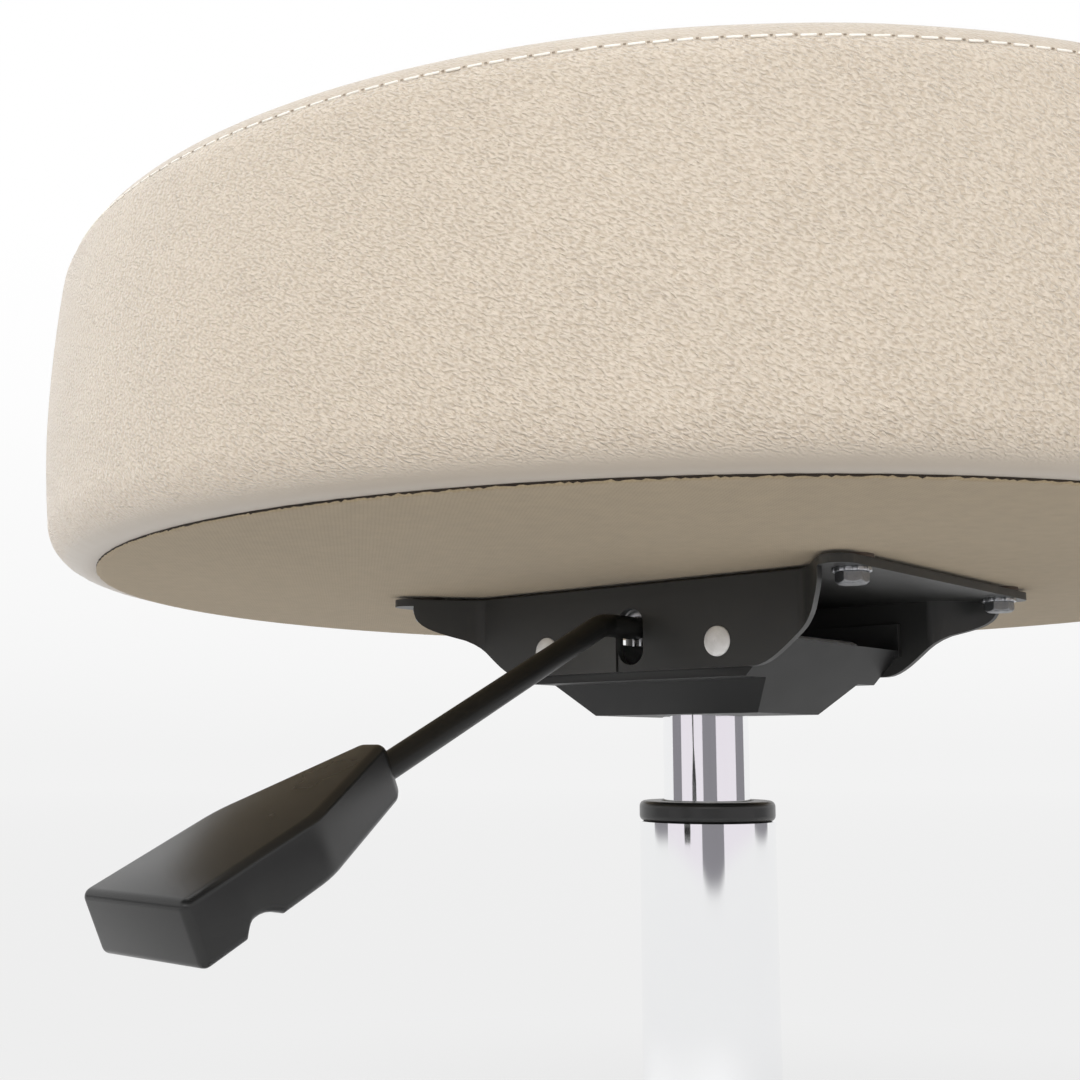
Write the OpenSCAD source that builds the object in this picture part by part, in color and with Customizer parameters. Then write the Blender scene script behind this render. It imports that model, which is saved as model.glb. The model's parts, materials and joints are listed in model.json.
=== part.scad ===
// Height-adjustable round stool on a five-leg caster base
// Millimetres, +Z up, origin on the floor on the column axis.
// +X points to the lever, so the housing's long sides run along Y.

/* [Upholstered seat] */
// Widest diameter of the seat over its cover
seat_d = 416.2; // [360:0.2:450]
// Height of the side band, from the underside to the top seam
band_h = 90.2; // [70:0.1:120]
// Rise of the crown above the top seam
crown_h = 7.5; // [3:0.5:20]
// Bulge of the side band beyond its lower edge
band_bulge = 1.5; // [0.5:0.1:4]
// Radius of the rolled lower edge
roll_r = 12; // [8:0.5:16]
// Radius of the shoulder below the top panel
shoulder_r = 15.2; // [8:0.2:16]
// Thickness of the cover sheet
cover_t = 1.2; // [0.8:0.1:2]
// Thickness of the seat board
board_t = 12; // [9:0.5:18]
// Chamfer round the lower edge of the seat board
board_ease = 3; // [2:0.5:5]
// Foam between the edge of the board and the cover
edge_foam = 10.5; // [8:0.5:16]
// Thickness of the woven cloth under the seat
cloth_t = 0.8; // [0.5:0.1:1.5]
// Margin from the widest seat radius to the edge of the cloth
cloth_margin = 15.3; // [13:0.1:20]
// Width of the cover folded under the board
fold_w = 17; // [14:1:30]

/* [Seat plate] */
// Length of the plate along Y
plate_l = 172.6; // [166:0.2:190]
// Width over the side walls at the waist
plate_w = 84; // [81:0.5:92]
// Width over the corner ears
ear_w = 125; // [118:0.5:130]
// Corner radius of the ears
ear_r = 5; // [4:0.5:8]
// Thickness of the plate's steel sheet
plate_t = 2.5; // [2:0.1:3]
// Distance from the middle to the start of the flare
waist_y = 60; // [57:1:63]
// Depth of the side walls below the seat's underside
wall_d = 27.7; // [26.8:0.1:29]
// Half length of the lower edge of a side wall
wall_foot_y = 45; // [42:0.5:48]

// Gap between the plate and the seat's underside, taken by spacers on the bolts
plate_drop = 1; // [0.6:0.1:1.5]
// Width of the slit beside the lever's slot
slit_w = 1; // [0.8:0.1:1.4]

/* [Lower housing] */
// Depth of the housing's floor below the seat's underside
pan_d = 40.3; // [38:0.1:46]
// Thickness of the housing's steel sheet
pan_t = 2; // [1.5:0.1:2.5]
// Half length of the housing's floor along Y
pan_floor_y = 31.6; // [28:0.1:34]
// Half width of the housing's floor along X
pan_floor_x = 18.4; // [18:0.1:22]
// Height of the sloping sides
pan_slope_h = 10; // [8:0.1:11]
// Depth of the housing's end lips below the seat's underside
pan_lip_d = 19.4; // [17:0.1:22]
// Slope of the housing's ends from level
pan_end_a = 47; // [43:0.5:50]
// Depth of the top of the inner side flanges
pan_flange_d = 10.5; // [9:0.1:14]
// Diameter of the cross pins
pin_d = 9; // [6:0.1:10]
// Distance between the cross pins
pin_pitch = 66; // [60:1:72]
// Depth of the cross pins below the seat's underside
pin_depth = 20; // [18:0.1:22]

/* [Seat bolts] */
// Bolt spacing across the plate, along X
bolt_x = 98; // [94:1:100]
// Bolt spacing along the plate, along Y
bolt_y = 162; // [154:1:162]
// Thread diameter of the seat bolts
bolt_d = 5; // [4:0.5:6]
// Width across the flats of the bolt heads
bolt_af = 8; // [7:0.1:10]
// Height of the bolt heads
bolt_head = 3.3; // [2.5:0.1:5]
// Diameter of the toothed lock washers
washer_d = 10.6; // [9:0.1:11.4]
// Thickness of the toothed lock washers
washer_t = 1.1; // [0.6:0.1:1.6]

/* [Lever] */
// Diameter of the lever's steel rod
rod_d = 7; // [6:0.1:8]
// Depth of the rod's level part below the seat's underside
rod_depth = 14.3; // [13:0.1:16]
// Sideways place of the lever's slot from the middle
lever_y = 1.3; // [0:0.1:3]
// Distance from the column axis to the lever's pivot
pivot_x = 30; // [26:0.5:31]
// Diameter of the pivot pin
pivot_d = 3; // [2:0.1:3.5]
// Distance from the column axis to the rod's bend
bend_x = 56; // [53:0.1:64]
// Inner radius that the rod is bent to, at its centre line
bend_r = 14; // [8:0.5:14]
// Downward slope of the lever outside the housing
lever_drop = 24.9; // [15:0.1:30]
// Sideways lean of the bent part
lever_lean = 5.3; // [0:0.1:10]
// Width of the slot that the rod passes through
slot_w = 9.6; // [9.4:0.1:12]
// Depth of the slot's upper end below the seat's underside
slot_top = 8.2; // [6:0.1:9]
// Depth of the slot's lower end below the seat's underside
slot_foot = 25.7; // [25.6:0.1:26.4]
// Distance along the lever from its bend to the handle
handle_s = 99; // [80:0.5:110]
// Length of the handle
handle_l = 75; // [66:0.1:90]
// Width of the handle's paddle
handle_w = 35.2; // [28:0.1:42]
// Thickness of the handle
handle_t = 15.1; // [12:0.1:18]
// Width of the handle's neck
neck_w = 11.6; // [11.4:0.1:18]
// Length of the tapering part of the handle
taper_l = 38.6; // [28:0.1:42]

/* [Gas lift] */
// Outer diameter of the column
column_d = 44; // [42:0.5:54]
// Wall of the column tube
column_wall = 1.75; // [1.5:0.05:2.5]
// Length of the column tube
column_l = 248; // [246:1:275]
// Height of the black ring on top of the column
ring_h = 6.5; // [4:0.1:10]
// Diameter of the chromed pressure tube
piston_d = 28; // [27:0.1:30]
// Wall of the pressure tube
piston_wall = 1.8; // [1.5:0.1:2.2]
// Length of the pressure tube that shows with the seat at its lowest
piston_show = 27.5; // [20:0.5:40]
// Travel of the seat between its lowest and highest setting
travel = 120; // [60:5:125]
// Diameter of the rod inside the gas lift
core_d = 10; // [8:0.1:11]
// Length of the guide bush at the top of the column
bush_l = 62; // [40:1:65]
// Outer diameter of the socket that holds the pressure tube
socket_d = 32; // [31.5:0.5:34]

/* [Base] */
// Distance from the column axis to the caster stems
base_r = 260; // [230:1:300]
// Height of the hub's underside above the floor
hub_z = 72; // [71:1:80]
// Height of the hub
hub_h = 56; // [52:1:62]
// Outer diameter of the hub
hub_d = 62; // [58:1:70]
// Half angle of the taper between the column and the hub
taper_a = 1.4; // [1:0.1:1.6]
// Length of the column that stands below the hub
column_drop = 9; // [8:0.5:10]
// Width of a leg at the hub
leg_w = 36; // [30:1:40]
// Width of a leg at its caster
leg_end_w = 28; // [26:0.5:32]
// Height of a leg at its caster
leg_end_h = 24; // [23:0.5:30]
// Thickness of a leg's steel sheet
leg_t = 2.5; // [1.5:0.1:3]

/* [Casters] */
// Diameter of the caster wheels
wheel_d = 50; // [46:1:54]
// Width of one caster wheel
wheel_w = 14; // [12:0.5:18]
// Distance from the stem's axis to the axle
trail = 20; // [16:0.5:22]
// Thickness of the web between the two wheels
web_t = 14.5; // [13:0.5:17]
// Wall of the hood over the wheels
hood_t = 2.5; // [2:0.1:3]
// Diameter of the stem in the leg
stem_d = 11; // [10:0.1:12]
// Length of the stem in the leg
stem_l = 20; // [16:0.5:20]
// Diameter of the stem's pin in the caster
swivel_d = 8; // [7:0.1:9]
// Diameter of the caster axle
axle_d = 6; // [5:0.1:7]
// Turn of each caster about its stem, from straight outwards
caster_turn = 68; // [0:1:180]

/* [Hidden] */
$fn = 96;
LEGS = 5;
EPS = 0.01;

// Clearances
seat_fit = 0.02;      // pressed or screwed together
run_fit = 0.05;       // turning or sliding fit, on the radius
rest_gap = 0.3;       // between pieces of two bodies that rest on each other
weld_gap = 0.1;       // sheet beside sheet
loose_fit = 0.3;      // bolt in its hole, on the radius

// Heights of the gas lift and the seat
hub_top = hub_z + hub_h;
column_z = hub_z - column_drop;
column_top = column_z + column_l;
ring_top = column_top + ring_h;
pan_z = ring_top + piston_show;
seat_z = pan_z + pan_d;
lever_z = seat_z - rod_depth;
pin_z = seat_z - pin_depth;

// Column, bearing and gas spring
column_r = column_d / 2;
core_r = core_d / 2;
piston_r = piston_d / 2;
piston_bore_r = piston_r - piston_wall;
end_t = 3;
race_t = 2;
race_r = 15;
ball_r = 2;
ball_ring_r = (core_r + race_r) / 2 + 0.6;
ball_count = 10;
race_z = column_z + end_t;
ball_z = race_z + race_t + run_fit + ball_r;
upper_race_z = ball_z + ball_r + run_fit;
collar_z = upper_race_z + race_t;
collar_t = 3;
bump_z = collar_z + collar_t;
bump_l = 14;
tube_z = bump_z + bump_l + rest_gap;
gland_l = 12;
clip_t = 1.2;
clip_z = column_z - rest_gap - clip_t;
core_z = clip_z - 2;
button_dome = 0.8;
button_top = lever_z - rod_d / 2 - rest_gap;
tube_top = button_top - 6.5;
valve_l = 22;
head_t = 8;
core_top = tube_top - valve_l - 6;

// Socket, housing and plate
socket_r = socket_d / 2;
socket_top = tube_top - 1;
wall_x = plate_w / 2;
plate_top = seat_z - plate_drop;
pan_x = wall_x - plate_t - weld_gap;
pan_lip_y = pan_floor_y + (pan_d - pan_lip_d) / tan(pan_end_a);
pan_shelf_z = pan_z + pan_slope_h;
pin_r = pin_d / 2;
pin_dome = 1;

// Seat
seat_r = seat_d / 2;
cloth_r = seat_r - cloth_margin;
roll_c = seat_r - band_bulge - roll_r;
fold_r = roll_c - fold_w;
board_r = seat_r - cover_t - edge_foam;
board_z = seat_z + cloth_t;
board_top = board_z + board_t;
cover_low = cloth_t;
roll_top = cover_low + roll_r;
seam_a = 62;
shoulder_c = seat_r - band_bulge * 1.25 - shoulder_r;
shoulder_h = band_h - shoulder_r * sin(seam_a);
belly_h = (roll_top + shoulder_h) / 2 - 5;
foam_gap = 0.1;

// Bolts and nuts
bolt_r = bolt_d / 2;
nut_flange_r = bolt_d * 1.6;
nut_flange_t = 1.3;
nut_barrel_r = bolt_r + 1;
bolt_reach = cloth_t + board_t - nut_flange_t - 1;

// Casters and legs
wheel_r = wheel_d / 2;
wheel_gap = 0.5;
wheel_y = web_t / 2 + wheel_gap;
caster_w = 2 * (wheel_y + wheel_w);
hood_in = wheel_r + 1.5;
hood_out = hood_in + hood_t;
flange_t = 3;
hood_top = wheel_r + hood_out + 3;
caster_h = hood_top + rest_gap + flange_t;
swivel_l = 20;
cap_dish = 2;

// Helpers

// A point on a cubic curve with four control points
function cubic(p, t) = pow(1 - t, 3) * p[0] + 3 * t * pow(1 - t, 2) * p[1]
    + 3 * t * t * (1 - t) * p[2] + pow(t, 3) * p[3];
function curve(p, steps) = [for (i = [0:steps]) cubic(p, i / steps)];
function arc(c, r, a0, a1, steps) =
    [for (i = [0:steps]) let (a = a0 + (a1 - a0) * i / steps) c + r * [cos(a), sin(a)]];
function flip(pts) = [for (i = [len(pts) - 1:-1:0]) [-pts[i][0], pts[i][1]]];
function back(pts) = [for (i = [len(pts) - 1:-1:0]) pts[i]];
function ease(t) = let (c = max(0, min(1, t))) c * c * (3 - 2 * c);

// Extrudes an outline drawn in Y and Z along X, centred
module along_x(length) {
    rotate([90, 0, 90]) linear_extrude(height = length, center = true) children();
}

// Extrudes an outline drawn in X and Z along Y, centred
module along_y(length) {
    rotate([90, 0, 0]) linear_extrude(height = length, center = true) children();
}

module tube(r_out, r_in, h) {
    difference() {
        cylinder(r = r_out, h = h);
        translate([0, 0, -1]) cylinder(r = r_in, h = h + 2);
    }
}

module at_bolts() {
    for (x = [-1, 1], y = [-1, 1]) translate([x * bolt_x / 2, y * bolt_y / 2, 0]) children();
}

module at_leg(n) {
    rotate(360 / LEGS * (n - 1)) children();
}

// Base

// Radius of the column's outside at a height, straight above the hub and tapered in it
function column_r_at(z) = column_r - max(0, hub_top - z) * tan(taper_a);

module base_hub() {
    color("#d9dadc")
    rotate_extrude() {
        polygon([
            [column_r_at(hub_z) + seat_fit, hub_z],
            [hub_d / 2 - 3, hub_z],
            [hub_d / 2, hub_z + 3],
            [hub_d / 2, hub_top - 6],
            [hub_d / 2 - 6, hub_top],
            [column_r_at(hub_top) + seat_fit, hub_top]]);
    }
}

// Side view of a leg from the hub out, drawn in X and Z, with its sheet taken off by inset
module leg_side(inset) {
    leg_top = hub_top - 8;
    end_x = base_r + leg_end_w / 2;
    end_top = caster_h + leg_end_h;
    top = curve([[0, leg_top], [base_r * 0.45, leg_top - 2],
        [base_r * 0.7, end_top + 6], [end_x, end_top]], 14);
    polygon(concat(
        [for (p = top) p - [0, inset]],
        inset > 0 ? [[end_x, 0], [0, 0]] :
        [[end_x, caster_h], [base_r - leg_end_w, caster_h], [hub_d / 2, hub_z + 6], [0, hub_z + 6]]));
}

// Plan of a leg, tapering to a round end about the stem
module leg_plan(inset) {
    end_w = leg_end_w / 2 - inset;
    hub_w = leg_w / 2 - inset;
    polygon([[0, -hub_w], [base_r, -end_w], [base_r, end_w], [0, hub_w]]);
    translate([base_r, 0]) circle(r = end_w);
}

module leg(n) {
    color("#d9dadc")
    at_leg(n) difference() {
        union() {
            difference() {
                intersection() {
                    along_y(leg_w + 2) leg_side(0);
                    linear_extrude(height = hub_top) leg_plan(0);
                }
                intersection() {
                    along_y(leg_w + 2) leg_side(leg_t);
                    linear_extrude(height = hub_top) leg_plan(leg_t);
                }
            }
            translate([base_r, 0, caster_h]) cylinder(r = stem_d / 2 + 4, h = leg_end_h - leg_t);
        }
        cylinder(r = hub_d / 2, h = hub_top + 1);
        translate([base_r, 0, caster_h - 1]) cylinder(r = stem_d / 2 + run_fit, h = stem_l + 1.5);
    }
}

// Casters, each drawn about its stem with the axle towards +X

module at_caster(n) {
    at_leg(n) translate([base_r, 0, 0]) rotate(caster_turn) children();
}

module at_axle() {
    translate([trail, 0, wheel_r]) rotate([-90, 0, 0]) children();
}

// Five stems, each with a flange and a pin for its caster to turn on
module caster_stems() {
    color("#b9bcc0")
    for (n = [1:LEGS]) at_caster(n) union() {
        translate([0, 0, caster_h - flange_t - swivel_l]) cylinder(r = swivel_d / 2, h = swivel_l + EPS);
        translate([0, 0, caster_h - flange_t]) cylinder(r = stem_d / 2 + 3.5, h = flange_t);
        translate([0, 0, caster_h - EPS]) cylinder(r = stem_d / 2, h = stem_l - 1.5 + EPS);
        translate([0, 0, caster_h + stem_l - 1.5]) cylinder(r1 = stem_d / 2, r2 = stem_d / 2 - 1.5, h = 1.5);
    }
}

// Web between the wheels, round about the axle and squared up to the stem
module hood_web() {
    at_axle() cylinder(r = wheel_r - 2, h = web_t, center = true);
    translate([-swivel_d / 2 - 4, -web_t / 2, wheel_r])
        cube([trail, web_t, hood_top - wheel_r - 6]);
}

module caster_hood(n) {
    color("#1d1e20")
    at_caster(n) difference() {
        union() {
            hood_web();
            difference() {
                union() {
                    at_axle() cylinder(r = hood_out, h = caster_w, center = true);
                    translate([0, 0, wheel_r]) cylinder(r = swivel_d / 2 + 5, h = hood_top - wheel_r);
                }
                at_axle() cylinder(r = hood_in, h = caster_w + 2, center = true);
                translate([-50, -50, -50]) cube([150, 100, wheel_r + 47]);
            }
        }
        translate([0, 0, hood_top - swivel_l - rest_gap])
            cylinder(r = swivel_d / 2 + run_fit, h = swivel_l + 5);
        at_axle() cylinder(r = axle_d / 2 + seat_fit, h = caster_w, center = true);
    }
}

module caster_axle(n) {
    color("#b9bcc0")
    at_caster(n) at_axle() cylinder(r = axle_d / 2, h = caster_w - 6, center = true);
}

// Half section of one wheel, radius along x and width along y from the inner face
module wheel_section() {
    edge = 3;
    bore = axle_d / 2 + run_fit;
    cap_r = wheel_r * 0.7;
    polygon(concat(
        [[bore, 0], [wheel_r - edge, 0]],
        arc([wheel_r - edge, edge], edge, -90, 0, 5),
        arc([wheel_r - edge, wheel_w - edge], edge, 0, 90, 5),
        [[cap_r + cap_dish, wheel_w], [cap_r, wheel_w - cap_dish], [0, wheel_w - cap_dish],
            [0, wheel_w - 3 + run_fit], [bore, wheel_w - 3 + run_fit]]));
}

// Side 0 is the left wheel and side 1 the right wheel, seen from the stem towards the axle
module caster_wheel(n, side) {
    color("#2b2c2f")
    at_caster(n) at_axle() mirror([0, 0, side])
        translate([0, 0, wheel_y]) rotate_extrude() wheel_section();
}

// Column

module column_tube() {
    bore_low = column_r_at(column_z) - column_wall;
    color("#e3e4e6")
    rotate_extrude() polygon([
        [core_r + loose_fit, column_z],
        [column_r_at(column_z), column_z],
        [column_r, hub_top],
        [column_r, column_top],
        [column_r - column_wall, column_top],
        [column_r - column_wall, hub_top],
        [bore_low, column_z + end_t],
        [core_r + loose_fit, column_z + end_t]]);
}

module column_ring() {
    edge = 1.8;
    bore = piston_r + loose_fit;
    color("#161719")
    translate([0, 0, column_top]) rotate_extrude() polygon(concat(
        [[bore, 0]],
        arc([column_r - edge, edge], edge, -90, 0, 5),
        arc([column_r - edge, ring_h - edge], edge, 0, 90, 5),
        [[bore + 1, ring_h], [bore, ring_h - 1]]));
}

module guide_bush() {
    color("#ece8dc")
    translate([0, 0, column_top - bush_l])
        tube(column_r - column_wall - seat_fit, piston_r + run_fit, bush_l);
}

module lower_race() {
    color("#b9bcc0") translate([0, 0, race_z]) tube(race_r, core_r + loose_fit, race_t);
}

module upper_race() {
    color("#b9bcc0") translate([0, 0, upper_race_z]) tube(race_r, core_r + run_fit, race_t);
}

// Balls on their ring, and the cage whose pockets hold them
module ball_cage() {
    color("#c9a24a") {
        for (i = [0:ball_count - 1]) rotate(360 / ball_count * i)
            translate([ball_ring_r, 0, ball_z]) sphere(r = ball_r, $fn = 32);
        difference() {
            translate([0, 0, ball_z - 0.6]) tube(race_r - 0.5, core_r + 0.8, 1.2);
            for (i = [0:ball_count - 1]) rotate(360 / ball_count * i)
                translate([ball_ring_r, 0, ball_z - 2]) cylinder(r = ball_r + run_fit, h = 4, $fn = 32);
        }
    }
}

module piston_rod() {
    groove_r = core_r - 1;
    color("#e3e4e6")
    rotate_extrude() polygon([
        [0, core_z], [core_r - 0.5, core_z], [core_r, core_z + 0.5],
        [core_r, clip_z - seat_fit], [groove_r, clip_z - seat_fit],
        [groove_r, clip_z + clip_t + seat_fit], [core_r, clip_z + clip_t + seat_fit],
        [core_r, collar_z], [core_r + 2, collar_z], [core_r + 2, bump_z], [core_r, bump_z],
        [core_r, core_top], [0, core_top]]);
}

module retaining_clip() {
    color("#8c9096")
    translate([0, 0, clip_z]) difference() {
        tube(core_r + 3.5, core_r - 1 + seat_fit, clip_t);
        translate([0, -core_r * 0.6, -1]) cube([core_r * 3, core_r * 1.2, clip_t + 2]);
    }
}

module bump_stop() {
    color("#26272a") translate([0, 0, bump_z]) tube(race_r - 1, core_r + run_fit, bump_l);
}

module piston_head() {
    color("#b9bcc0")
    translate([0, 0, core_top - head_t]) tube(piston_bore_r - run_fit, core_r + seat_fit, head_t);
}

// The upper end is slightly tapered, which seats it in the socket
socket_taper = 0.35;
module pressure_tube() {
    color("#e3e4e6")
    difference() {
        union() {
            translate([0, 0, tube_z]) cylinder(r = piston_r, h = pan_z - tube_z);
            translate([0, 0, pan_z - EPS])
                cylinder(r1 = piston_r, r2 = piston_r - socket_taper, h = tube_top - pan_z + EPS);
        }
        translate([0, 0, tube_z - 1]) cylinder(r = piston_bore_r, h = tube_top - tube_z + 2);
    }
}

module rod_gland() {
    color("#3a3c40")
    translate([0, 0, tube_z]) tube(piston_bore_r - seat_fit, core_r + run_fit, gland_l);
}

module valve_body() {
    color("#c9a24a")
    translate([0, 0, tube_top - valve_l]) difference() {
        cylinder(r = piston_bore_r - seat_fit, h = valve_l);
        translate([0, 0, 2]) cylinder(r = button_r - 1 + run_fit, h = valve_l);
    }
}

button_r = 4;
module valve_button() {
    head_l = 2.4;
    color("#d6d8da")
    rotate_extrude() polygon(concat(
        [[0, tube_top - valve_l + 7], [button_r - 1, tube_top - valve_l + 7],
            [button_r - 1, button_top - head_l], [button_r, button_top - head_l]],
        curve([[button_r, button_top - button_dome], [button_r * 0.7, button_top - button_dome * 0.25],
            [button_r * 0.35, button_top], [0, button_top]], 6)));
}

// Housing under the seat

module taper_socket() {
    color("#5b5e63")
    difference() {
        translate([0, 0, pan_z]) cylinder(r = socket_r, h = socket_top - pan_z);
        translate([0, 0, pan_z - EPS]) cylinder(r1 = piston_r + seat_fit,
            r2 = piston_r - socket_taper + seat_fit, h = tube_top - pan_z + EPS);
    }
}

// Inside or outside form of the housing: sloping ends, and sides that slope to a shelf
module pan_form(inset, top) {
    side_a = 45;
    floor_y = pan_floor_y - inset * tan(pan_end_a / 2);
    floor_x = pan_floor_x - inset * tan(side_a / 2);
    rise = top - pan_z - inset;
    end_y = floor_y + rise / tan(pan_end_a);
    intersection() {
        along_x(plate_w) polygon([[-floor_y, pan_z + inset], [floor_y, pan_z + inset],
            [end_y, top], [-end_y, top]]);
        along_y(plate_l) polygon(concat(
            [[floor_x, pan_z + inset], [floor_x + pan_slope_h, pan_shelf_z + inset],
                [pan_x - inset, pan_shelf_z + inset], [pan_x - inset, top]],
            [[inset - pan_x, top], [inset - pan_x, pan_shelf_z + inset],
                [-floor_x - pan_slope_h, pan_shelf_z + inset], [-floor_x, pan_z + inset]]));
    }
}

module cross_pin_holes() {
    for (s = [-1, 1]) translate([0, s * pin_pitch / 2, pin_z])
        rotate([0, 90, 0]) cylinder(r = pin_r + run_fit, h = plate_w + 20, center = true);
}

module housing_pan() {
    lip_z = seat_z - pan_lip_d;
    flange_top = seat_z - pan_flange_d;
    color("#17181a")
    difference() {
        union() {
            difference() {
                pan_form(0, lip_z);
                pan_form(pan_t, lip_z + 1);
            }
            for (s = [-1, 1]) translate([s * (pan_x - pan_t / 2), 0, (lip_z + flange_top) / 2 - 1])
                cube([pan_t, 2 * pan_lip_y, flange_top - lip_z + 2], center = true);
        }
        translate([0, 0, pan_z - 1]) cylinder(r = socket_r + seat_fit, h = pan_t + 2);
        cross_pin_holes();
        translate([pan_x, lever_y, seat_z - slot_foot + 18.5])
            cube([4 * pan_t, slot_w + 3, 40], center = true);
    }
}

// Half width of the plate at a distance from its middle: a waist that flares to the ears
flare_end = plate_l / 2 - ear_r;
function plate_x(y) = wall_x + (ear_w - plate_w) / 2 * ease((abs(y) - waist_y) / (flare_end - waist_y));
function flare_pts(s, inset) =
    [for (i = [-12:12]) let (y = s * (i < 0 ? -1 : 1) * (abs(i) == 0 ? 0 : waist_y
        + (flare_end - waist_y) * (abs(i) - 1) / 11)) [s * (plate_x(y) - inset), y]];

module plate_outline() {
    ear_x = ear_w / 2 - ear_r;
    polygon(concat(
        flare_pts(1, 0),
        arc([ear_x, flare_end], ear_r, 0, 90, 8),
        arc([-ear_x, flare_end], ear_r, 90, 180, 8),
        flare_pts(-1, 0),
        arc([-ear_x, -flare_end], ear_r, 180, 270, 8),
        arc([ear_x, -flare_end], ear_r, 270, 360, 8)));
}

// Strips of sheet just inside the plate's two long edges
module wall_plan() {
    for (s = [-1, 1])
        polygon(concat(flare_pts(s, 0), back(flare_pts(s, plate_t))));
}

// Side view of a wall: level lower edge, ends that sweep up and out to the ears
module wall_side() {
    low = seat_z - wall_d;
    knee = [waist_y + 6, seat_z - wall_d * 0.54];
    tip = [plate_l / 2 - 9.5, seat_z - wall_d * 0.16];
    end_pts = concat(
        curve([[wall_foot_y, low], [wall_foot_y + 7, low], knee - [7, 3.8], knee], 10),
        curve([knee, knee + [6.5, 2.6], tip - [0, 6], tip], 10));
    polygon(concat(end_pts, [[tip[0], plate_top], [-tip[0], plate_top]], flip(end_pts)));
}

module seat_plate() {
    slot_r = slot_w / 2;
    color("#17181a")
    difference() {
        union() {
            translate([0, 0, plate_top - plate_t]) linear_extrude(height = plate_t) plate_outline();
            intersection() {
                translate([0, 0, seat_z - wall_d]) linear_extrude(height = wall_d - plate_drop) wall_plan();
                along_x(ear_w + 2) wall_side();
            }
        }
        translate([0, 0, plate_top - plate_t - 1]) at_bolts()
            cylinder(r = bolt_r + loose_fit, h = plate_t + 2);
        cross_pin_holes();
        translate([wall_x, lever_y, 0]) {
            for (z = [slot_top + slot_r, slot_foot - slot_r]) translate([0, 0, seat_z - z])
                rotate([0, 90, 0]) cylinder(r = slot_r, h = 4 * plate_t, center = true);
            translate([0, 0, seat_z - (slot_top + slot_foot) / 2])
                cube([4 * plate_t, slot_w, slot_foot - slot_top - slot_w], center = true);
            translate([-2 * plate_t, -slot_r - slit_w, seat_z - wall_d - 1])
                cube([4 * plate_t, slit_w + EPS, wall_d - rod_depth]);
        }
    }
}

// Two steel pins across the housing, with a low dome on each end
module cross_pins() {
    color("#d6d8da")
    for (s = [-1, 1]) translate([0, s * pin_pitch / 2, pin_z])
        rotate([0, 90, 0]) rotate_extrude() polygon(concat(
        curve([[0, -wall_x - pin_dome], [pin_r * 0.6, -wall_x - pin_dome],
            [pin_r, -wall_x - pin_dome * 0.4], [pin_r, -wall_x]], 6),
        curve([[pin_r, wall_x], [pin_r, wall_x + pin_dome * 0.4],
            [pin_r * 0.6, wall_x + pin_dome], [0, wall_x + pin_dome]], 6)));
}

// Lever

lever_room = 0.6;     // each side of the rod in its bracket
bracket_t = 2;
bracket_l = 12;

module lever_bracket() {
    ear_y = rod_d / 2 + lever_room;
    foot = rod_depth + 4;
    roof = plate_drop + plate_t;
    color("#5b5e63")
    difference() {
        translate([-pivot_x - bracket_l / 2, lever_y - ear_y - bracket_t, seat_z - foot])
            cube([bracket_l, 2 * (ear_y + bracket_t), foot - roof]);
        translate([-pivot_x - bracket_l, lever_y - ear_y, seat_z - foot - 1])
            cube([2 * bracket_l, 2 * ear_y, foot - roof - bracket_t + 1]);
        translate([-pivot_x, lever_y, lever_z]) rotate([90, 0, 0])
            cylinder(r = pivot_d / 2 + seat_fit, h = 40, center = true);
    }
}

module pivot_pin() {
    color("#b9bcc0")
    translate([-pivot_x, lever_y, lever_z]) rotate([90, 0, 0])
        cylinder(r = pivot_d / 2, h = rod_d + 2 * (lever_room + bracket_t) + 2, center = true);
}

bend_len = bend_r * tan(lever_drop / 2);
rod_in_handle = 30;
rod_end = 4;
bend_draw = 0.02;     // the rod is a hair thinner round its bend

module lever_rod() {
    rod_r = rod_d / 2;
    lap = 0.3;
    color("#141516")
    difference() {
        translate([0, lever_y, lever_z]) rotate([lever_lean, 0, 0]) {
            translate([-pivot_x - rod_end, 0, 0]) rotate([0, 90, 0])
                cylinder(r = rod_r, h = pivot_x + rod_end + bend_x - bend_len + lap);
            translate([bend_x - bend_len, 0, -bend_r]) rotate([0, -90, -90])
                rotate_extrude(angle = lever_drop) translate([bend_r, 0]) circle(r = rod_r - bend_draw);
            translate([bend_x, 0, 0]) rotate([0, 90 + lever_drop, 0]) translate([0, 0, bend_len - lap])
                cylinder(r = rod_r, h = handle_s + rod_in_handle - bend_len);
        }
        translate([-pivot_x, lever_y, lever_z]) rotate([90, 0, 0])
            cylinder(r = pivot_d / 2 + run_fit, h = 40, center = true);
    }
}

// Push-on washer that keeps the rod in its slot
module lever_washer() {
    washer_x = pan_x - pan_t + 0.3;
    color("#d6d8da")
    translate([washer_x, lever_y, lever_z]) rotate([0, 90, 0])
        tube(rod_d / 2 + 2, rod_d / 2 + seat_fit, 1.2);
}

// Frame of the handle: level across, +X out along the lever from its neck
module at_handle() {
    yaw = atan(tan(lever_drop) * sin(lever_lean));
    pitch = asin(sin(lever_drop) * cos(lever_lean));
    translate([bend_x, lever_y, lever_z]) rotate([0, pitch, yaw]) translate([handle_s, 0, 0]) children();
}

module handle_plan() {
    edge = 2;
    half = [
        [0, neck_w / 2 - 2], [3, neck_w / 2],
        [taper_l, handle_w / 2 - 0.8], [taper_l + 4, handle_w / 2],
        [handle_l - edge / 2, handle_w / 2], [handle_l, handle_w / 2 - edge / 2]];
    polygon(concat([for (p = half) [p[0], -p[1]]], back(half)));
}

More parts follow.
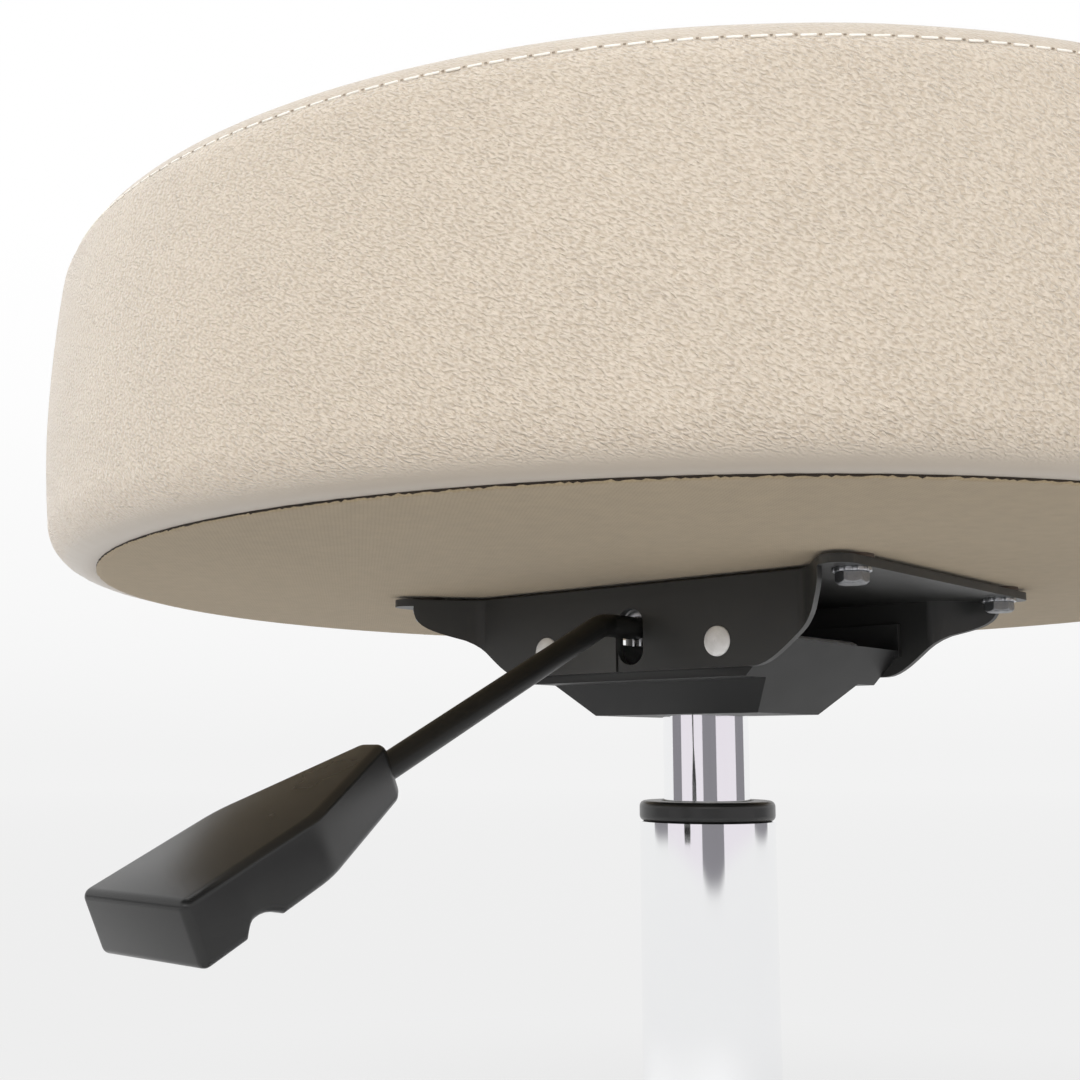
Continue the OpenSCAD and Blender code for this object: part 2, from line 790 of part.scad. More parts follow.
module handle_side() {
    low = -handle_t / 2;
    high = handle_t / 2;
    notch_x = handle_l - 17;
    notch_w = 10;
    polygon(concat(
        [[0, high - 3], [0, low + 4], [3, low + 1.5], [taper_l - 3, low]],
        curve([[notch_x - notch_w / 2 - 1, low], [notch_x - notch_w / 2 + 0.5, low],
            [notch_x - notch_w / 2, low + 2.6], [notch_x, low + 2.6]], 6),
        curve([[notch_x, low + 2.6], [notch_x + notch_w / 2 - 0.5, low + 2.6],
            [notch_x + notch_w / 2 - 1, low], [notch_x + notch_w / 2 + 2, low]], 6),
        [[handle_l - 1.5, low], [handle_l, low + 1.5], [handle_l, high - 1.5],
            [handle_l - 1.5, high], [3, high]]));
}

module lever_handle() {
    color("#141516")
    at_handle() difference() {
        intersection() {
            along_y(handle_w + 2) handle_side();
            linear_extrude(height = 2 * handle_t, center = true) handle_plan();
        }
        translate([-1, 0, 0]) rotate([0, 90, 0])
            cylinder(r = rod_d / 2 + seat_fit, h = rod_in_handle + 1 + rest_gap);
    }
}

// Seat bolts

module seat_bolts() {
    head_r = bolt_af / 2 / cos(30);
    head_z = plate_top - plate_t - washer_t - bolt_head;
    color("#c9ccd0")
    at_bolts() {
        difference() {
            translate([0, 0, head_z]) cylinder(r = head_r, h = bolt_head, $fn = 6);
            translate([0, 0, head_z - EPS]) difference() {
                cylinder(r = head_r + 2, h = 1);
                translate([0, 0, -EPS]) cylinder(r1 = bolt_af / 2 - 0.4, r2 = head_r + 0.2, h = 1 + 2 * EPS);
            }
        }
        translate([0, 0, head_z + bolt_head - EPS])
            cylinder(r = bolt_r, h = washer_t + plate_t + plate_drop + bolt_reach + EPS);
    }
}

module lock_washers() {
    teeth = 10;
    notch = washer_d * 0.07;
    color("#dcdee0")
    translate([0, 0, plate_top - plate_t - washer_t])
        at_bolts() linear_extrude(height = washer_t) difference() {
        circle(r = washer_d / 2);
        circle(r = bolt_r + 0.2);
        for (i = [0:teeth - 1]) rotate(360 / teeth * i)
            translate([washer_d / 2 + notch / 4, 0]) circle(r = notch, $fn = 16);
    }
}

// Fibre washers that hold the plate off the cloth
module bolt_spacers() {
    color("#3a2f26")
    translate([0, 0, plate_top]) at_bolts() tube(bolt_r + 3.5, bolt_r + loose_fit, plate_drop);
}

module tee_nuts() {
    color("#b9bcc0")
    at_bolts() difference() {
        union() {
            translate([0, 0, board_top - nut_flange_t]) cylinder(r = nut_flange_r, h = nut_flange_t);
            translate([0, 0, board_z + 2]) cylinder(r = nut_barrel_r, h = board_t - nut_flange_t - 2 + EPS);
        }
        translate([0, 0, board_z]) cylinder(r = bolt_r + seat_fit, h = board_t + 1);
    }
}

// Upholstery

module seat_board() {
    color("#c8a878")
    difference() {
        translate([0, 0, seat_z]) rotate_extrude() polygon([
            [0, cloth_t], [fold_r - foam_gap, cloth_t],
            [fold_r - foam_gap, cloth_t + cover_t + foam_gap],
            [board_r - board_ease, cloth_t + cover_t + foam_gap],
            [board_r, cloth_t + cover_t + foam_gap + board_ease],
            [board_r, cloth_t + board_t], [0, cloth_t + board_t]]);
        at_bolts() {
            translate([0, 0, board_z - 1]) cylinder(r = nut_barrel_r + seat_fit, h = board_t + 2);
            translate([0, 0, board_top - nut_flange_t]) cylinder(r = nut_flange_r + seat_fit, h = 4);
        }
    }
}

// Outside of the side band from the roll up to the seam, radius and height over the underside
function band_pts(inset) =
    let (r_low = roll_c + roll_r, r_top = shoulder_c + shoulder_r)
    concat(
        arc([roll_c, roll_top], roll_r - inset, -90, 0, 8),
        [for (i = [1:5]) let (t = i / 6)
            [seat_r - inset - (seat_r - r_low) * pow(1 - t, 2), roll_top + (belly_h - roll_top) * t]],
        [for (i = [0:5]) let (t = i / 6)
            [seat_r - inset - (seat_r - r_top) * t * t, belly_h + (shoulder_h - belly_h) * t]],
        arc([shoulder_c, shoulder_h], shoulder_r - inset, 0, seam_a, 6));

// Outside of the top panel from the seam to the middle
function top_pts(inset) =
    let (top_h = shoulder_h + shoulder_r, peak = band_h + crown_h)
    concat(
        arc([shoulder_c, shoulder_h], shoulder_r - inset, seam_a, 86, 4),
        [for (i = [1:12]) let (t = i / 12)
            [shoulder_c * (1 - t), top_h - inset + (peak - top_h) * (1 - pow(1 - t, 2))]]);

// Wall of the side band, with a small valley at the seam and the fold under the board
module side_cover() {
    outer = band_pts(0);
    inner = band_pts(cover_t);
    color("#dccfb8")
    translate([0, 0, seat_z]) rotate_extrude() polygon(concat(
        [[fold_r, cover_low]], outer, back(inner), [[fold_r, cover_low + cover_t]]));
}

module top_cover() {
    outer = top_pts(0);
    inner = top_pts(cover_t);
    color("#dccfb8")
    translate([0, 0, seat_z]) rotate_extrude() polygon(concat(outer, back(inner)));
}

module seat_foam() {
    skin = cover_t + foam_gap;
    color("#f0e6c8")
    translate([0, 0, seat_z]) rotate_extrude() polygon(concat(
        [[0, cloth_t + board_t + foam_gap], [board_r + foam_gap, cloth_t + board_t + foam_gap],
            [board_r + foam_gap, cover_low + cover_t + 2 * foam_gap + 1.5]],
        [for (p = band_pts(skin)) if (p[0] > board_r + foam_gap + 0.5) p],
        top_pts(skin)));
}

module underside_cloth() {
    color("#a08c6c")
    translate([0, 0, seat_z]) difference() {
        cylinder(r = cloth_r, h = cloth_t);
        translate([0, 0, -1]) at_bolts() cylinder(r = bolt_r + loose_fit, h = cloth_t + 2);
    }
}

base_hub();
leg(1);  // leg_1
leg(2);  // leg_2
leg(3);  // leg_3
leg(4);  // leg_4
leg(5);  // leg_5
column_tube();
column_ring();
guide_bush();
lower_race();
upper_race();
ball_cage();
piston_rod();
piston_head();
bump_stop();
retaining_clip();
pressure_tube();
rod_gland();
valve_body();
valve_button();
taper_socket();
housing_pan();
seat_plate();
cross_pins();
lever_bracket();
pivot_pin();
lever_rod();
lever_washer();
lever_handle();
seat_bolts();
lock_washers();
bolt_spacers();
tee_nuts();
seat_board();
seat_foam();
side_cover();
top_cover();
underside_cloth();
caster_stems();
caster_hood(1);  // caster_1_hood
caster_hood(2);  // caster_2_hood
caster_hood(3);  // caster_3_hood
caster_hood(4);  // caster_4_hood
caster_hood(5);  // caster_5_hood
caster_axle(1);  // caster_1_axle
caster_axle(2);  // caster_2_axle
caster_axle(3);  // caster_3_axle
caster_axle(4);  // caster_4_axle
caster_axle(5);  // caster_5_axle
caster_wheel(1, 0);  // caster_1_wheel_left
caster_wheel(2, 0);  // caster_2_wheel_left
caster_wheel(3, 0);  // caster_3_wheel_left
caster_wheel(4, 0);  // caster_4_wheel_left
caster_wheel(5, 0);  // caster_5_wheel_left
caster_wheel(1, 1);  // caster_1_wheel_right
caster_wheel(2, 1);  // caster_2_wheel_right
caster_wheel(3, 1);  // caster_3_wheel_right
caster_wheel(4, 1);  // caster_4_wheel_right
caster_wheel(5, 1);  // caster_5_wheel_right
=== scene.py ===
"""Looks of a round height-adjustable stool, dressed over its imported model.

Lengths are in metres, +Z is up, and the origin is on the floor under the column.
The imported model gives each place. The classes add finishes, soft forms and eased
edges, one class for each sub-assembly.
"""

import json
import logging
import math
import random
from collections.abc import Callable
from dataclasses import dataclass, field
from enum import Enum

import bmesh
import bpy
from bmesh.types import BMEdge, BMesh, BMVert
from bpy.types import ID, Material, Mesh, Node, NodeSocket, NodeTree, Object
from mathutils import Matrix, Vector, noise
from mathutils.kdtree import KDTree

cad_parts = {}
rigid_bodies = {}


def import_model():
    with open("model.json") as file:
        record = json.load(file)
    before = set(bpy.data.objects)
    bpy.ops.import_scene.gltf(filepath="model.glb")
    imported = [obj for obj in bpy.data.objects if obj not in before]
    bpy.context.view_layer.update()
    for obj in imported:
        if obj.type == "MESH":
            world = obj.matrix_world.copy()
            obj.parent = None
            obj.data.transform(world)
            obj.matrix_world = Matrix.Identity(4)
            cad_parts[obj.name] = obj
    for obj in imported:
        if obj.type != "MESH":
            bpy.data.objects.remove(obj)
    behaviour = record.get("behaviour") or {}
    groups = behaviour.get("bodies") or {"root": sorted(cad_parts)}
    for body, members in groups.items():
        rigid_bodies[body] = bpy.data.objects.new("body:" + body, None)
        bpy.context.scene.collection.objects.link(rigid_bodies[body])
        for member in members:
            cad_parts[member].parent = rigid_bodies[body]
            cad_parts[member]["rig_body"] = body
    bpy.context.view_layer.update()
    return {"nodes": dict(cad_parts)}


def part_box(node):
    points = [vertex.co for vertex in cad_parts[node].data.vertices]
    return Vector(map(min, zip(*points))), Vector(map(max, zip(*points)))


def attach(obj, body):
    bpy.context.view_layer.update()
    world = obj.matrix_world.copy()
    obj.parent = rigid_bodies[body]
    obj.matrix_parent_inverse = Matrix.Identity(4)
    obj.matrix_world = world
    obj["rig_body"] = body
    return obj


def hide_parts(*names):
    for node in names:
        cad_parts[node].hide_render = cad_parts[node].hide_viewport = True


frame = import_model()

MM = 0.001
# Points this near to each other, or to the column's axis, are one point
TOUCH = 0.01 * MM
LOG = logging.getLogger("stool")

# The cushion's UV map in metres of cover, how deep its emboss is from 0 to 1, and the cards' UV map in metres
COVER_MAP = "cover_lay"
EMBOSS = "emboss_depth"
CARD_MAP = "card_rise"

# A Mix node's two colour inputs, by number because its number inputs have the same names
FIRST, SECOND = 6, 7

Point = tuple[float, float]
Colour = tuple[float, float, float, float]


# Finishes


def linear(code: str) -> Colour:
    """Turns an sRGB hex colour into the linear colour that a shader takes.

    Args:
        code: The colour as "#rrggbb".

    Returns:
        Red, green, blue and alpha, each from 0 to 1.
    """
    parts = [int(code[i:i + 2], 16) / 255 for i in (1, 3, 5)]
    red, green, blue = (p / 12.92 if p <= 0.04045 else ((p + 0.055) / 1.055) ** 2.4 for p in parts)
    return red, green, blue, 1.0


def add_node(tree: NodeTree, kind: str, sockets: dict | None = None, **settings) -> Node:
    """Adds one node with its settings and links.

    Args:
        tree: The node tree that gets the node.
        kind: The node's type name, without "ShaderNode".
        sockets: Input name or number, and its value, or the output or node that feeds it.
        settings: The node's own attributes and their values.

    Returns:
        The new node.
    """
    node = tree.nodes.new("ShaderNode" + kind)
    for name, value in settings.items():
        setattr(node, name, value)
    feed(tree, node, sockets or {})
    return node


def feed(tree: NodeTree, node: Node, sockets: dict) -> None:
    """Sets and links a node's inputs.

    Args:
        tree: The node's tree.
        node: The node.
        sockets: Input name or number, and its value, or the output that feeds it, or the node whose first
            output in use feeds it.
    """
    for name, value in sockets.items():
        if isinstance(value, Node):
            value = next(output for output in value.outputs if output.enabled)
        if isinstance(value, NodeSocket):
            tree.links.new(value, node.inputs[name])
        else:
            node.inputs[name].default_value = value


def set_ramp(ramp: Node, stops: list[tuple[float, Colour]]) -> None:
    """Gives a colour ramp its stops.

    Args:
        ramp: The colour ramp node.
        stops: Each stop's place from 0 to 1 and its colour, at least two of them.
    """
    elements = ramp.color_ramp.elements
    while len(elements) < len(stops):
        elements.new(0.5)
    for element, (place, colour) in zip(elements, stops):
        element.position = place
        element.color = colour


@dataclass(frozen=True)
class Finish:
    """What every finish shares: a name, and a material that is made once."""

    name: str

    def material(self) -> Material:
        """Returns the finish's material, and makes it on the first call."""
        found = bpy.data.materials.get(self.name)
        if found:
            return found
        made = bpy.data.materials.new(self.name)
        made.use_nodes = True
        tree = made.node_tree
        tree.nodes.clear()
        shader = add_node(tree, "BsdfPrincipled")
        place = add_node(tree, "TexCoord").outputs["Object"]
        add_node(tree, "OutputMaterial", {"Surface": shader.outputs["BSDF"]})
        self.dress(tree, shader, place)
        return made

    def dress(self, tree: NodeTree, shader: Node, place: NodeSocket) -> None:
        """Adds the finish's own nodes.

        Args:
            tree: The material's node tree.
            shader: The Principled BSDF node.
            place: Object coordinates, in metres.
        """
        raise NotImplementedError


@dataclass(frozen=True)
class GrainedVinyl(Finish):
    """Calendered PVC upholstery vinyl: soft low gloss, short wavy ridges that lie aslant, deeper in places, and
    painted shade in the hollows between them and on the smooth fold.
    """

    colour: str = "#dfd1bf"
    # crease and dark: painted shade, the darker colour and its strength in the hollows of the grain
    crease: str = "#bca88e"
    faded: str = "#e0d3c2"
    # pressed: painted shade, a darker grey where the emboss fades, full on the fold's downward-facing roll and about
    # half by the seam
    pressed: str = "#c0b4a4"
    pebble_length: float = 1.15 * MM
    pebble_width: float = 0.56 * MM
    slant: float = 25.0
    depth: float = 0.27 * MM
    stir: float = 0.7
    fine: float = 2.4
    dark: float = 0.52
    roughness: float = 0.5
    sheen: float = 0.45

    def dress(self, tree: NodeTree, shader: Node, place: NodeSocket) -> None:
        """Adds ridges with low pebbles between them in the cover's own lay, a slow drift of depth and tone, painted
        shade in the hollows, and a darker grey painted as shade where the emboss fades on the fold and by the seam.
        """
        lay = add_node(tree, "UVMap", uv_map=COVER_MAP)
        emboss = add_node(tree, "Attribute", attribute_name=EMBOSS, attribute_type="GEOMETRY")
        turned = add_node(tree, "Mapping", {"Vector": lay, "Rotation": (0.0, 0.0, math.radians(self.slant))})
        sized = add_node(tree, "VectorMath", {
            0: turned, 1: (1 / self.pebble_length, 1 / self.pebble_width, 1.0)}, operation="MULTIPLY")
        stir = add_node(tree, "TexNoise", {"Vector": sized, "Scale": 0.6, "Detail": 0.0}, noise_dimensions="2D")
        shift = add_node(tree, "VectorMath", {0: stir.outputs["Color"], 1: (0.5, 0.5, 0.5)}, operation="SUBTRACT")
        bent = add_node(tree, "VectorMath", {
            0: shift, 1: (self.stir, self.stir, 0.0), 2: sized}, operation="MULTIPLY_ADD")
        cells = add_node(tree, "TexVoronoi", {
            "Vector": bent, "Scale": 1.0, "Smoothness": 0.5, "Randomness": 0.95},
            feature="SMOOTH_F1", voronoi_dimensions="2D")
        pillow = add_node(tree, "MapRange", {
            "Value": cells, "From Min": 0.05, "From Max": 0.62, "To Min": 0.3, "To Max": 0.0},
            interpolation_type="SMOOTHSTEP")
        wrinkle = add_node(tree, "TexNoise", {
            "Vector": bent, "Scale": 1.0, "Detail": 1.0, "Roughness": 0.4}, noise_dimensions="2D")
        relief = add_node(tree, "Math", {0: wrinkle, 1: self.fine, 2: pillow}, operation="MULTIPLY_ADD")
        patches = add_node(tree, "TexNoise", {"Vector": lay, "Scale": 45.0, "Detail": 2.0}, noise_dimensions="2D")
        strength = add_node(tree, "MapRange", {
            "Value": patches, "From Min": 0.35, "From Max": 0.65, "To Min": 0.93, "To Max": 1.05})
        pressed = add_node(tree, "Math", {0: strength, 1: emboss.outputs["Fac"]}, operation="MULTIPLY")
        height = add_node(tree, "Math", {0: relief, 1: pressed}, operation="MULTIPLY")
        bump = add_node(tree, "Bump", {"Height": height, "Distance": self.depth, "Strength": 1.0})
        drift = add_node(tree, "TexNoise", {"Vector": place, "Scale": 22.0, "Detail": 3.0})
        tone = add_node(tree, "Mix", {
            "Factor": drift, FIRST: linear(self.colour), SECOND: linear(self.faded)}, data_type="RGBA")
        # Painted shade: the hollows between the ridges darken towards the crease colour
        low = add_node(tree, "MapRange", {
            "Value": relief, "From Min": 0.85, "From Max": 1.55, "To Min": self.dark, "To Max": 0.0})
        groove = add_node(tree, "Math", {0: low, 1: emboss.outputs["Fac"]}, operation="MULTIPLY")
        hollow_shaded_tone = add_node(tree, "Mix", {"Factor": groove, FIRST: tone, SECOND: linear(self.crease)}, data_type="RGBA")
        # Painted shade: where the emboss fades, on the roll and by the seam, the colour turns to a darker grey
        tone_with_fold_shade = add_node(tree, "Mix", {
            "Factor": emboss.outputs["Fac"], FIRST: linear(self.pressed), SECOND: hollow_shaded_tone}, data_type="RGBA")
        feed(tree, shader, {
            "Base Color": tone_with_fold_shade, "Normal": bump, "Roughness": self.roughness, "IOR": 1.5,
            "Sheen Weight": self.sheen, "Sheen Roughness": 0.35})


@dataclass(frozen=True)
class WovenCloth(Finish):
    """Plain-woven polypropylene lining cloth, matt, with warp and weft of slightly uneven thickness and painted shade
    between the threads.
    """

    colour: str = "#a99779"
    gap: str = "#9f8d70"
    # The real threads are about 0.6 mm apart, and are drawn at 0.9 mm so that the weave shows
    pitch: float = 0.9 * MM
    depth: float = 0.03 * MM

    def dress(self, tree: NodeTree, shader: Node, place: NodeSocket) -> None:
        """Adds two sets of crossing threads that pass over and under each other, with painted shade where the weave
        is low.
        """
        wander = add_node(tree, "TexNoise", {"Vector": place, "Scale": 90.0, "Detail": 2.0})
        shift = add_node(tree, "VectorMath", {
            0: wander.outputs["Color"], "Scale": 0.6 * self.pitch}, operation="SCALE")
        bent = add_node(tree, "VectorMath", {0: place, 1: shift}, operation="ADD")
        turned = add_node(tree, "Mapping", {"Vector": bent, "Rotation": (0.0, 0.0, math.radians(41))})
        axes = add_node(tree, "SeparateXYZ", {0: turned})
        threads = []
        for axis in ("X", "Y"):
            phase = add_node(tree, "Math", {0: axes.outputs[axis], 1: math.pi / self.pitch}, operation="MULTIPLY")
            threads.append(add_node(tree, "Math", {0: phase}, operation="SINE"))
        ridges = [add_node(tree, "Math", {0: t}, operation="ABSOLUTE") for t in threads]
        over = add_node(tree, "Math", {0: threads[0], 1: threads[1]}, operation="MULTIPLY")
        cross = add_node(tree, "MapRange", {
            "Value": over, "From Min": -0.4, "From Max": 0.4}, interpolation_type="SMOOTHSTEP")
        weave = add_node(tree, "Mix", {"Factor": cross, 2: ridges[0], 3: ridges[1]})
        bump = add_node(tree, "Bump", {"Height": weave, "Distance": self.depth, "Strength": 1.0})
        # Painted shade: where the weave is low, between the threads, the colour darkens
        shade_between_threads = add_node(tree, "MapRange", {
            "Value": weave, "From Min": 0.25, "From Max": 0.8, "To Min": 1.0, "To Max": 0.0})
        shade = add_node(tree, "Mix", {
            "Factor": shade_between_threads, FIRST: linear(self.colour), SECOND: linear(self.gap)}, data_type="RGBA")
        slub = add_node(tree, "TexNoise", {"Vector": place, "Scale": 240.0, "Detail": 2.0})
        lift = add_node(tree, "MapRange", {"Value": slub, "To Min": 0.88, "To Max": 1.1})
        final = add_node(tree, "Mix", {
            "Factor": 1.0, FIRST: shade, SECOND: lift}, data_type="RGBA", blend_type="MULTIPLY")
        feed(tree, shader, {"Base Color": final, "Normal": bump, "Roughness": 0.85, "Sheen Weight": 0.15})


@dataclass(frozen=True)
class SpunThread(Finish):
    """Bonded polyester sewing thread: two plies twisted together, matt with a faint shine."""

    colour: str = "#fffdf8"
    shade: str = "#f3ece0"
    twist: float = 0.5 * MM

    def dress(self, tree: NodeTree, shader: Node, place: NodeSocket) -> None:
        """Adds the slanting line between the plies."""
        plies = add_node(tree, "TexNoise", {
            "Vector": place, "Scale": 1 / self.twist, "Detail": 2.0, "Distortion": 0.6})
        tone = add_node(tree, "Mix", {
            "Factor": plies, FIRST: linear(self.colour), SECOND: linear(self.shade)}, data_type="RGBA")
        bump = add_node(tree, "Bump", {"Height": plies, "Distance": 0.1 * MM})
        feed(tree, shader, {"Base Color": tone, "Normal": bump, "Roughness": 0.6})


@dataclass(frozen=True)
class PlatedMetal(Finish):
    """Metal with a plated, turned or polished surface: mirror-like, with faint wipe marks."""

    colour: str = "#e9eaec"
    tarnish: str = "#d4d6da"
    roughness: float = 0.05
    haze: float = 0.03
    grain: float = 6.0 * MM
    depth: float = 0.0
    metallic: float = 1.0

    def dress(self, tree: NodeTree, shader: Node, place: NodeSocket) -> None:
        """Adds a gloss and a tone that drift over the surface, and a fine grain where there is one."""
        drift = add_node(tree, "TexNoise", {
            "Vector": place, "Scale": 1 / self.grain, "Detail": 4.0, "Roughness": 0.6})
        gloss = add_node(tree, "MapRange", {
            "Value": drift, "From Min": 0.3, "From Max": 0.7,
            "To Min": self.roughness, "To Max": self.roughness + self.haze})
        tone = add_node(tree, "Mix", {
            "Factor": drift, FIRST: linear(self.colour), SECOND: linear(self.tarnish)}, data_type="RGBA")
        feed(tree, shader, {"Base Color": tone, "Roughness": gloss, "Metallic": self.metallic})
        if self.depth:
            bump = add_node(tree, "Bump", {"Height": drift, "Distance": self.depth})
            feed(tree, shader, {"Normal": bump})


@dataclass(frozen=True)
class PowderCoat(Finish):
    """Satin black powder coat on pressed steel: a fine orange peel, and a greyer tone painted on outer edges as their
    highlight.
    """

    colour: str = "#232322"
    edge_highlight: str = "#3a3a38"
    roughness: float = 0.4
    peel: float = 0.7 * MM
    depth: float = 0.012 * MM
    gloss: float = 0.5

    def dress(self, tree: NodeTree, shader: Node, place: NodeSocket) -> None:
        """Adds the orange peel, and a greyer tone on outer edges as a painted highlight."""
        peel = add_node(tree, "TexNoise", {"Vector": place, "Scale": 1 / self.peel, "Detail": 2.0})
        bump = add_node(tree, "Bump", {"Height": peel, "Distance": self.depth})
        shape = add_node(tree, "NewGeometry")
        # Painted highlight: the colour greys on convex edges
        edge_highlight_mask = add_node(tree, "MapRange", {"Value": shape.outputs["Pointiness"], "From Min": 0.52, "From Max": 0.62})
        tone = add_node(tree, "Mix", {
            "Factor": edge_highlight_mask, FIRST: linear(self.colour), SECOND: linear(self.edge_highlight)}, data_type="RGBA")
        drift = add_node(tree, "TexNoise", {"Vector": place, "Scale": 60.0, "Detail": 3.0})
        shine = add_node(tree, "MapRange", {
            "Value": drift, "To Min": self.roughness - 0.04, "To Max": self.roughness + 0.06})
        feed(tree, shader, {
            "Base Color": tone, "Roughness": shine, "Normal": bump, "IOR": 1.5,
            "Specular IOR Level": self.gloss})


@dataclass(frozen=True)
class MouldedPolymer(Finish):
    """Injection-moulded plastic or rubber with a fine spark-eroded texture."""

    colour: str = "#202020"
    fleck: str = "#2a2a2a"
    roughness: float = 0.42
    grit: float = 0.35 * MM
    depth: float = 0.012 * MM
    shine: float = 0.5

    def dress(self, tree: NodeTree, shader: Node, place: NodeSocket) -> None:
        """Adds the mould's texture and a slow drift of tone and gloss."""
        grit = add_node(tree, "TexNoise", {"Vector": place, "Scale": 1 / self.grit, "Detail": 2.0, "Roughness": 0.6})
        drift = add_node(tree, "TexNoise", {"Vector": place, "Scale": 35.0, "Detail": 3.0})
        tone = add_node(tree, "Mix", {
            "Factor": drift, FIRST: linear(self.colour), SECOND: linear(self.fleck)}, data_type="RGBA")
        gloss = add_node(tree, "MapRange", {
            "Value": drift, "To Min": self.roughness - 0.04, "To Max": self.roughness + 0.06})
        bump = add_node(tree, "Bump", {"Height": grit, "Distance": self.depth})
        feed(tree, shader, {
            "Base Color": tone, "Roughness": gloss, "Normal": bump, "IOR": 1.5,
            "Specular IOR Level": self.shine})


@dataclass(frozen=True)
class PeeledPly(Finish):
    """Rotary-cut birch plywood: pale face grain, with darker glue lines at the edge."""

    colour: str = "#d3b78c"
    grain: str = "#b8986a"
    glue: str = "#8a6a44"
    veneer: float = 1.5 * MM

    def dress(self, tree: NodeTree, shader: Node, place: NodeSocket) -> None:
        """Adds long grain on the faces and thin glue lines through the thickness."""
        drawn = add_node(tree, "Mapping", {"Vector": place, "Scale": (8.0, 110.0, 110.0)})
        grain = add_node(tree, "TexNoise", {"Vector": drawn, "Scale": 1.0, "Detail": 5.0})
        face = add_node(tree, "Mix", {
            "Factor": grain, FIRST: linear(self.colour), SECOND: linear(self.grain)}, data_type="RGBA")
        axes = add_node(tree, "SeparateXYZ", {0: place})
        layer = add_node(tree, "Math", {0: axes.outputs["Z"], 1: 2 * math.pi / self.veneer}, operation="MULTIPLY")
        wave = add_node(tree, "Math", {0: layer}, operation="SINE")
        line = add_node(tree, "MapRange", {"Value": wave, "From Min": 0.8, "From Max": 1.0, "To Max": 0.6})
        tone = add_node(tree, "Mix", {"Factor": line, FIRST: face, SECOND: linear(self.glue)}, data_type="RGBA")
        feed(tree, shader, {"Base Color": tone, "Roughness": 0.65})


@dataclass(frozen=True)
class StudioPaper(Finish):
    """Seamless pale grey paper: matt, and a little paler with distance from the object."""

    near: str = "#eeeeee"
    far: str = "#f2f2f2"
    bounce: str = "#d9d9da"

    def dress(self, tree: NodeTree, shader: Node, place: NodeSocket) -> None:
        """Adds the change of tone with distance, past the stool's shadow a plain tone for camera and metal, and
        the deeper tone that lights the stool from below."""
        span = add_node(tree, "VectorMath", {0: place}, operation="LENGTH")
        away = add_node(tree, "MapRange", {"Value": span.outputs["Value"], "From Min": 1.5, "From Max": 11.0})
        tone = add_node(tree, "Mix", {
            "Factor": away, FIRST: linear(self.near), SECOND: linear(self.far)}, data_type="RGBA")
        tooth = add_node(tree, "TexNoise", {"Vector": place, "Scale": 900.0})
        bump = add_node(tree, "Bump", {"Height": tooth, "Distance": 0.02 * MM})
        feed(tree, shader, {"Normal": bump, "Roughness": 0.9, "Specular IOR Level": 0.1})
        path = add_node(tree, "LightPath")
        seen = add_node(tree, "Math", {
            0: path.outputs["Is Camera Ray"], 1: path.outputs["Is Glossy Ray"]}, operation="MAXIMUM")
        lit = add_node(tree, "Mix", {"Factor": seen, FIRST: linear(self.bounce), SECOND: tone}, data_type="RGBA")
        feed(tree, shader, {"Base Color": lit})
        past = add_node(tree, "MapRange", {
            "Value": span.outputs["Value"], "From Min": 0.55, "From Max": 1.3}, interpolation_type="SMOOTHSTEP")
        fade = add_node(tree, "Math", {0: seen, 1: past}, operation="MULTIPLY")
        glow = add_node(tree, "Emission", {"Color": tone, "Strength": 1.0})
        mixed = add_node(tree, "MixShader", {0: fade, 1: shader, 2: glow})
        out = next(n for n in tree.nodes if n.type == "OUTPUT_MATERIAL")
        feed(tree, out, {"Surface": mixed})


@dataclass(frozen=True)
class WallCard(Finish):
    """Matt card or wall past the lamps, which polished metal shows as an upright band with a soft foot."""

    colour: str = "#858388"
    mottled: str = "#8d8b90"
    floor: str = "#efefef"
    soft: float = 0.06

    def dress(self, tree: NodeTree, shader: Node, place: NodeSocket) -> None:
        """Gives the card an even tone that mottles a little and fades into the paper at its foot."""
        mottle = add_node(tree, "TexNoise", {"Vector": place, "Scale": 1.5})
        tone = add_node(tree, "Mix", {
            "Factor": mottle, FIRST: linear(self.colour), SECOND: linear(self.mottled)}, data_type="RGBA")
        lay = add_node(tree, "UVMap", uv_map=CARD_MAP)
        rise = add_node(tree, "SeparateXYZ", {0: lay})
        fade = add_node(tree, "MapRange", {
            "Value": rise.outputs["Y"], "From Max": self.soft}, interpolation_type="SMOOTHSTEP")
        shown = add_node(tree, "Mix", {"Factor": fade, FIRST: linear(self.floor), SECOND: tone}, data_type="RGBA")
        glow = add_node(tree, "Emission", {"Color": shown, "Strength": 1.0})
        out = next(n for n in tree.nodes if n.type == "OUTPUT_MATERIAL")
        feed(tree, out, {"Surface": glow})


# Upholstery: a soft sheen on the band, a dull weave underneath whose cut edge is painted near-black as the shadow in
# the gap by the fold, and a bright dashed seam with painted shade in its needle holes
VINYL = GrainedVinyl("grained_vinyl")
CLOTH = WovenCloth("woven_lining_cloth")
# The cloth's raw edge in near-black: painted shadow of the gap between the cloth and the fold
EDGE_GAP_SHADOW = MouldedPolymer("cloth_edge_painted_gap_shadow", colour="#17120d", fleck="#3a3025", roughness=0.9, grit=0.8 * MM,
                          depth=0.2 * MM)
THREAD = SpunThread("bonded_polyester_thread")
# Dark discs in the needle holes: painted shade
NEEDLE_HOLE_SHADOW = MouldedPolymer("needle_hole_shadow", colour="#8a7c6b", fleck="#a39583", roughness=0.9, grit=0.3 * MM)
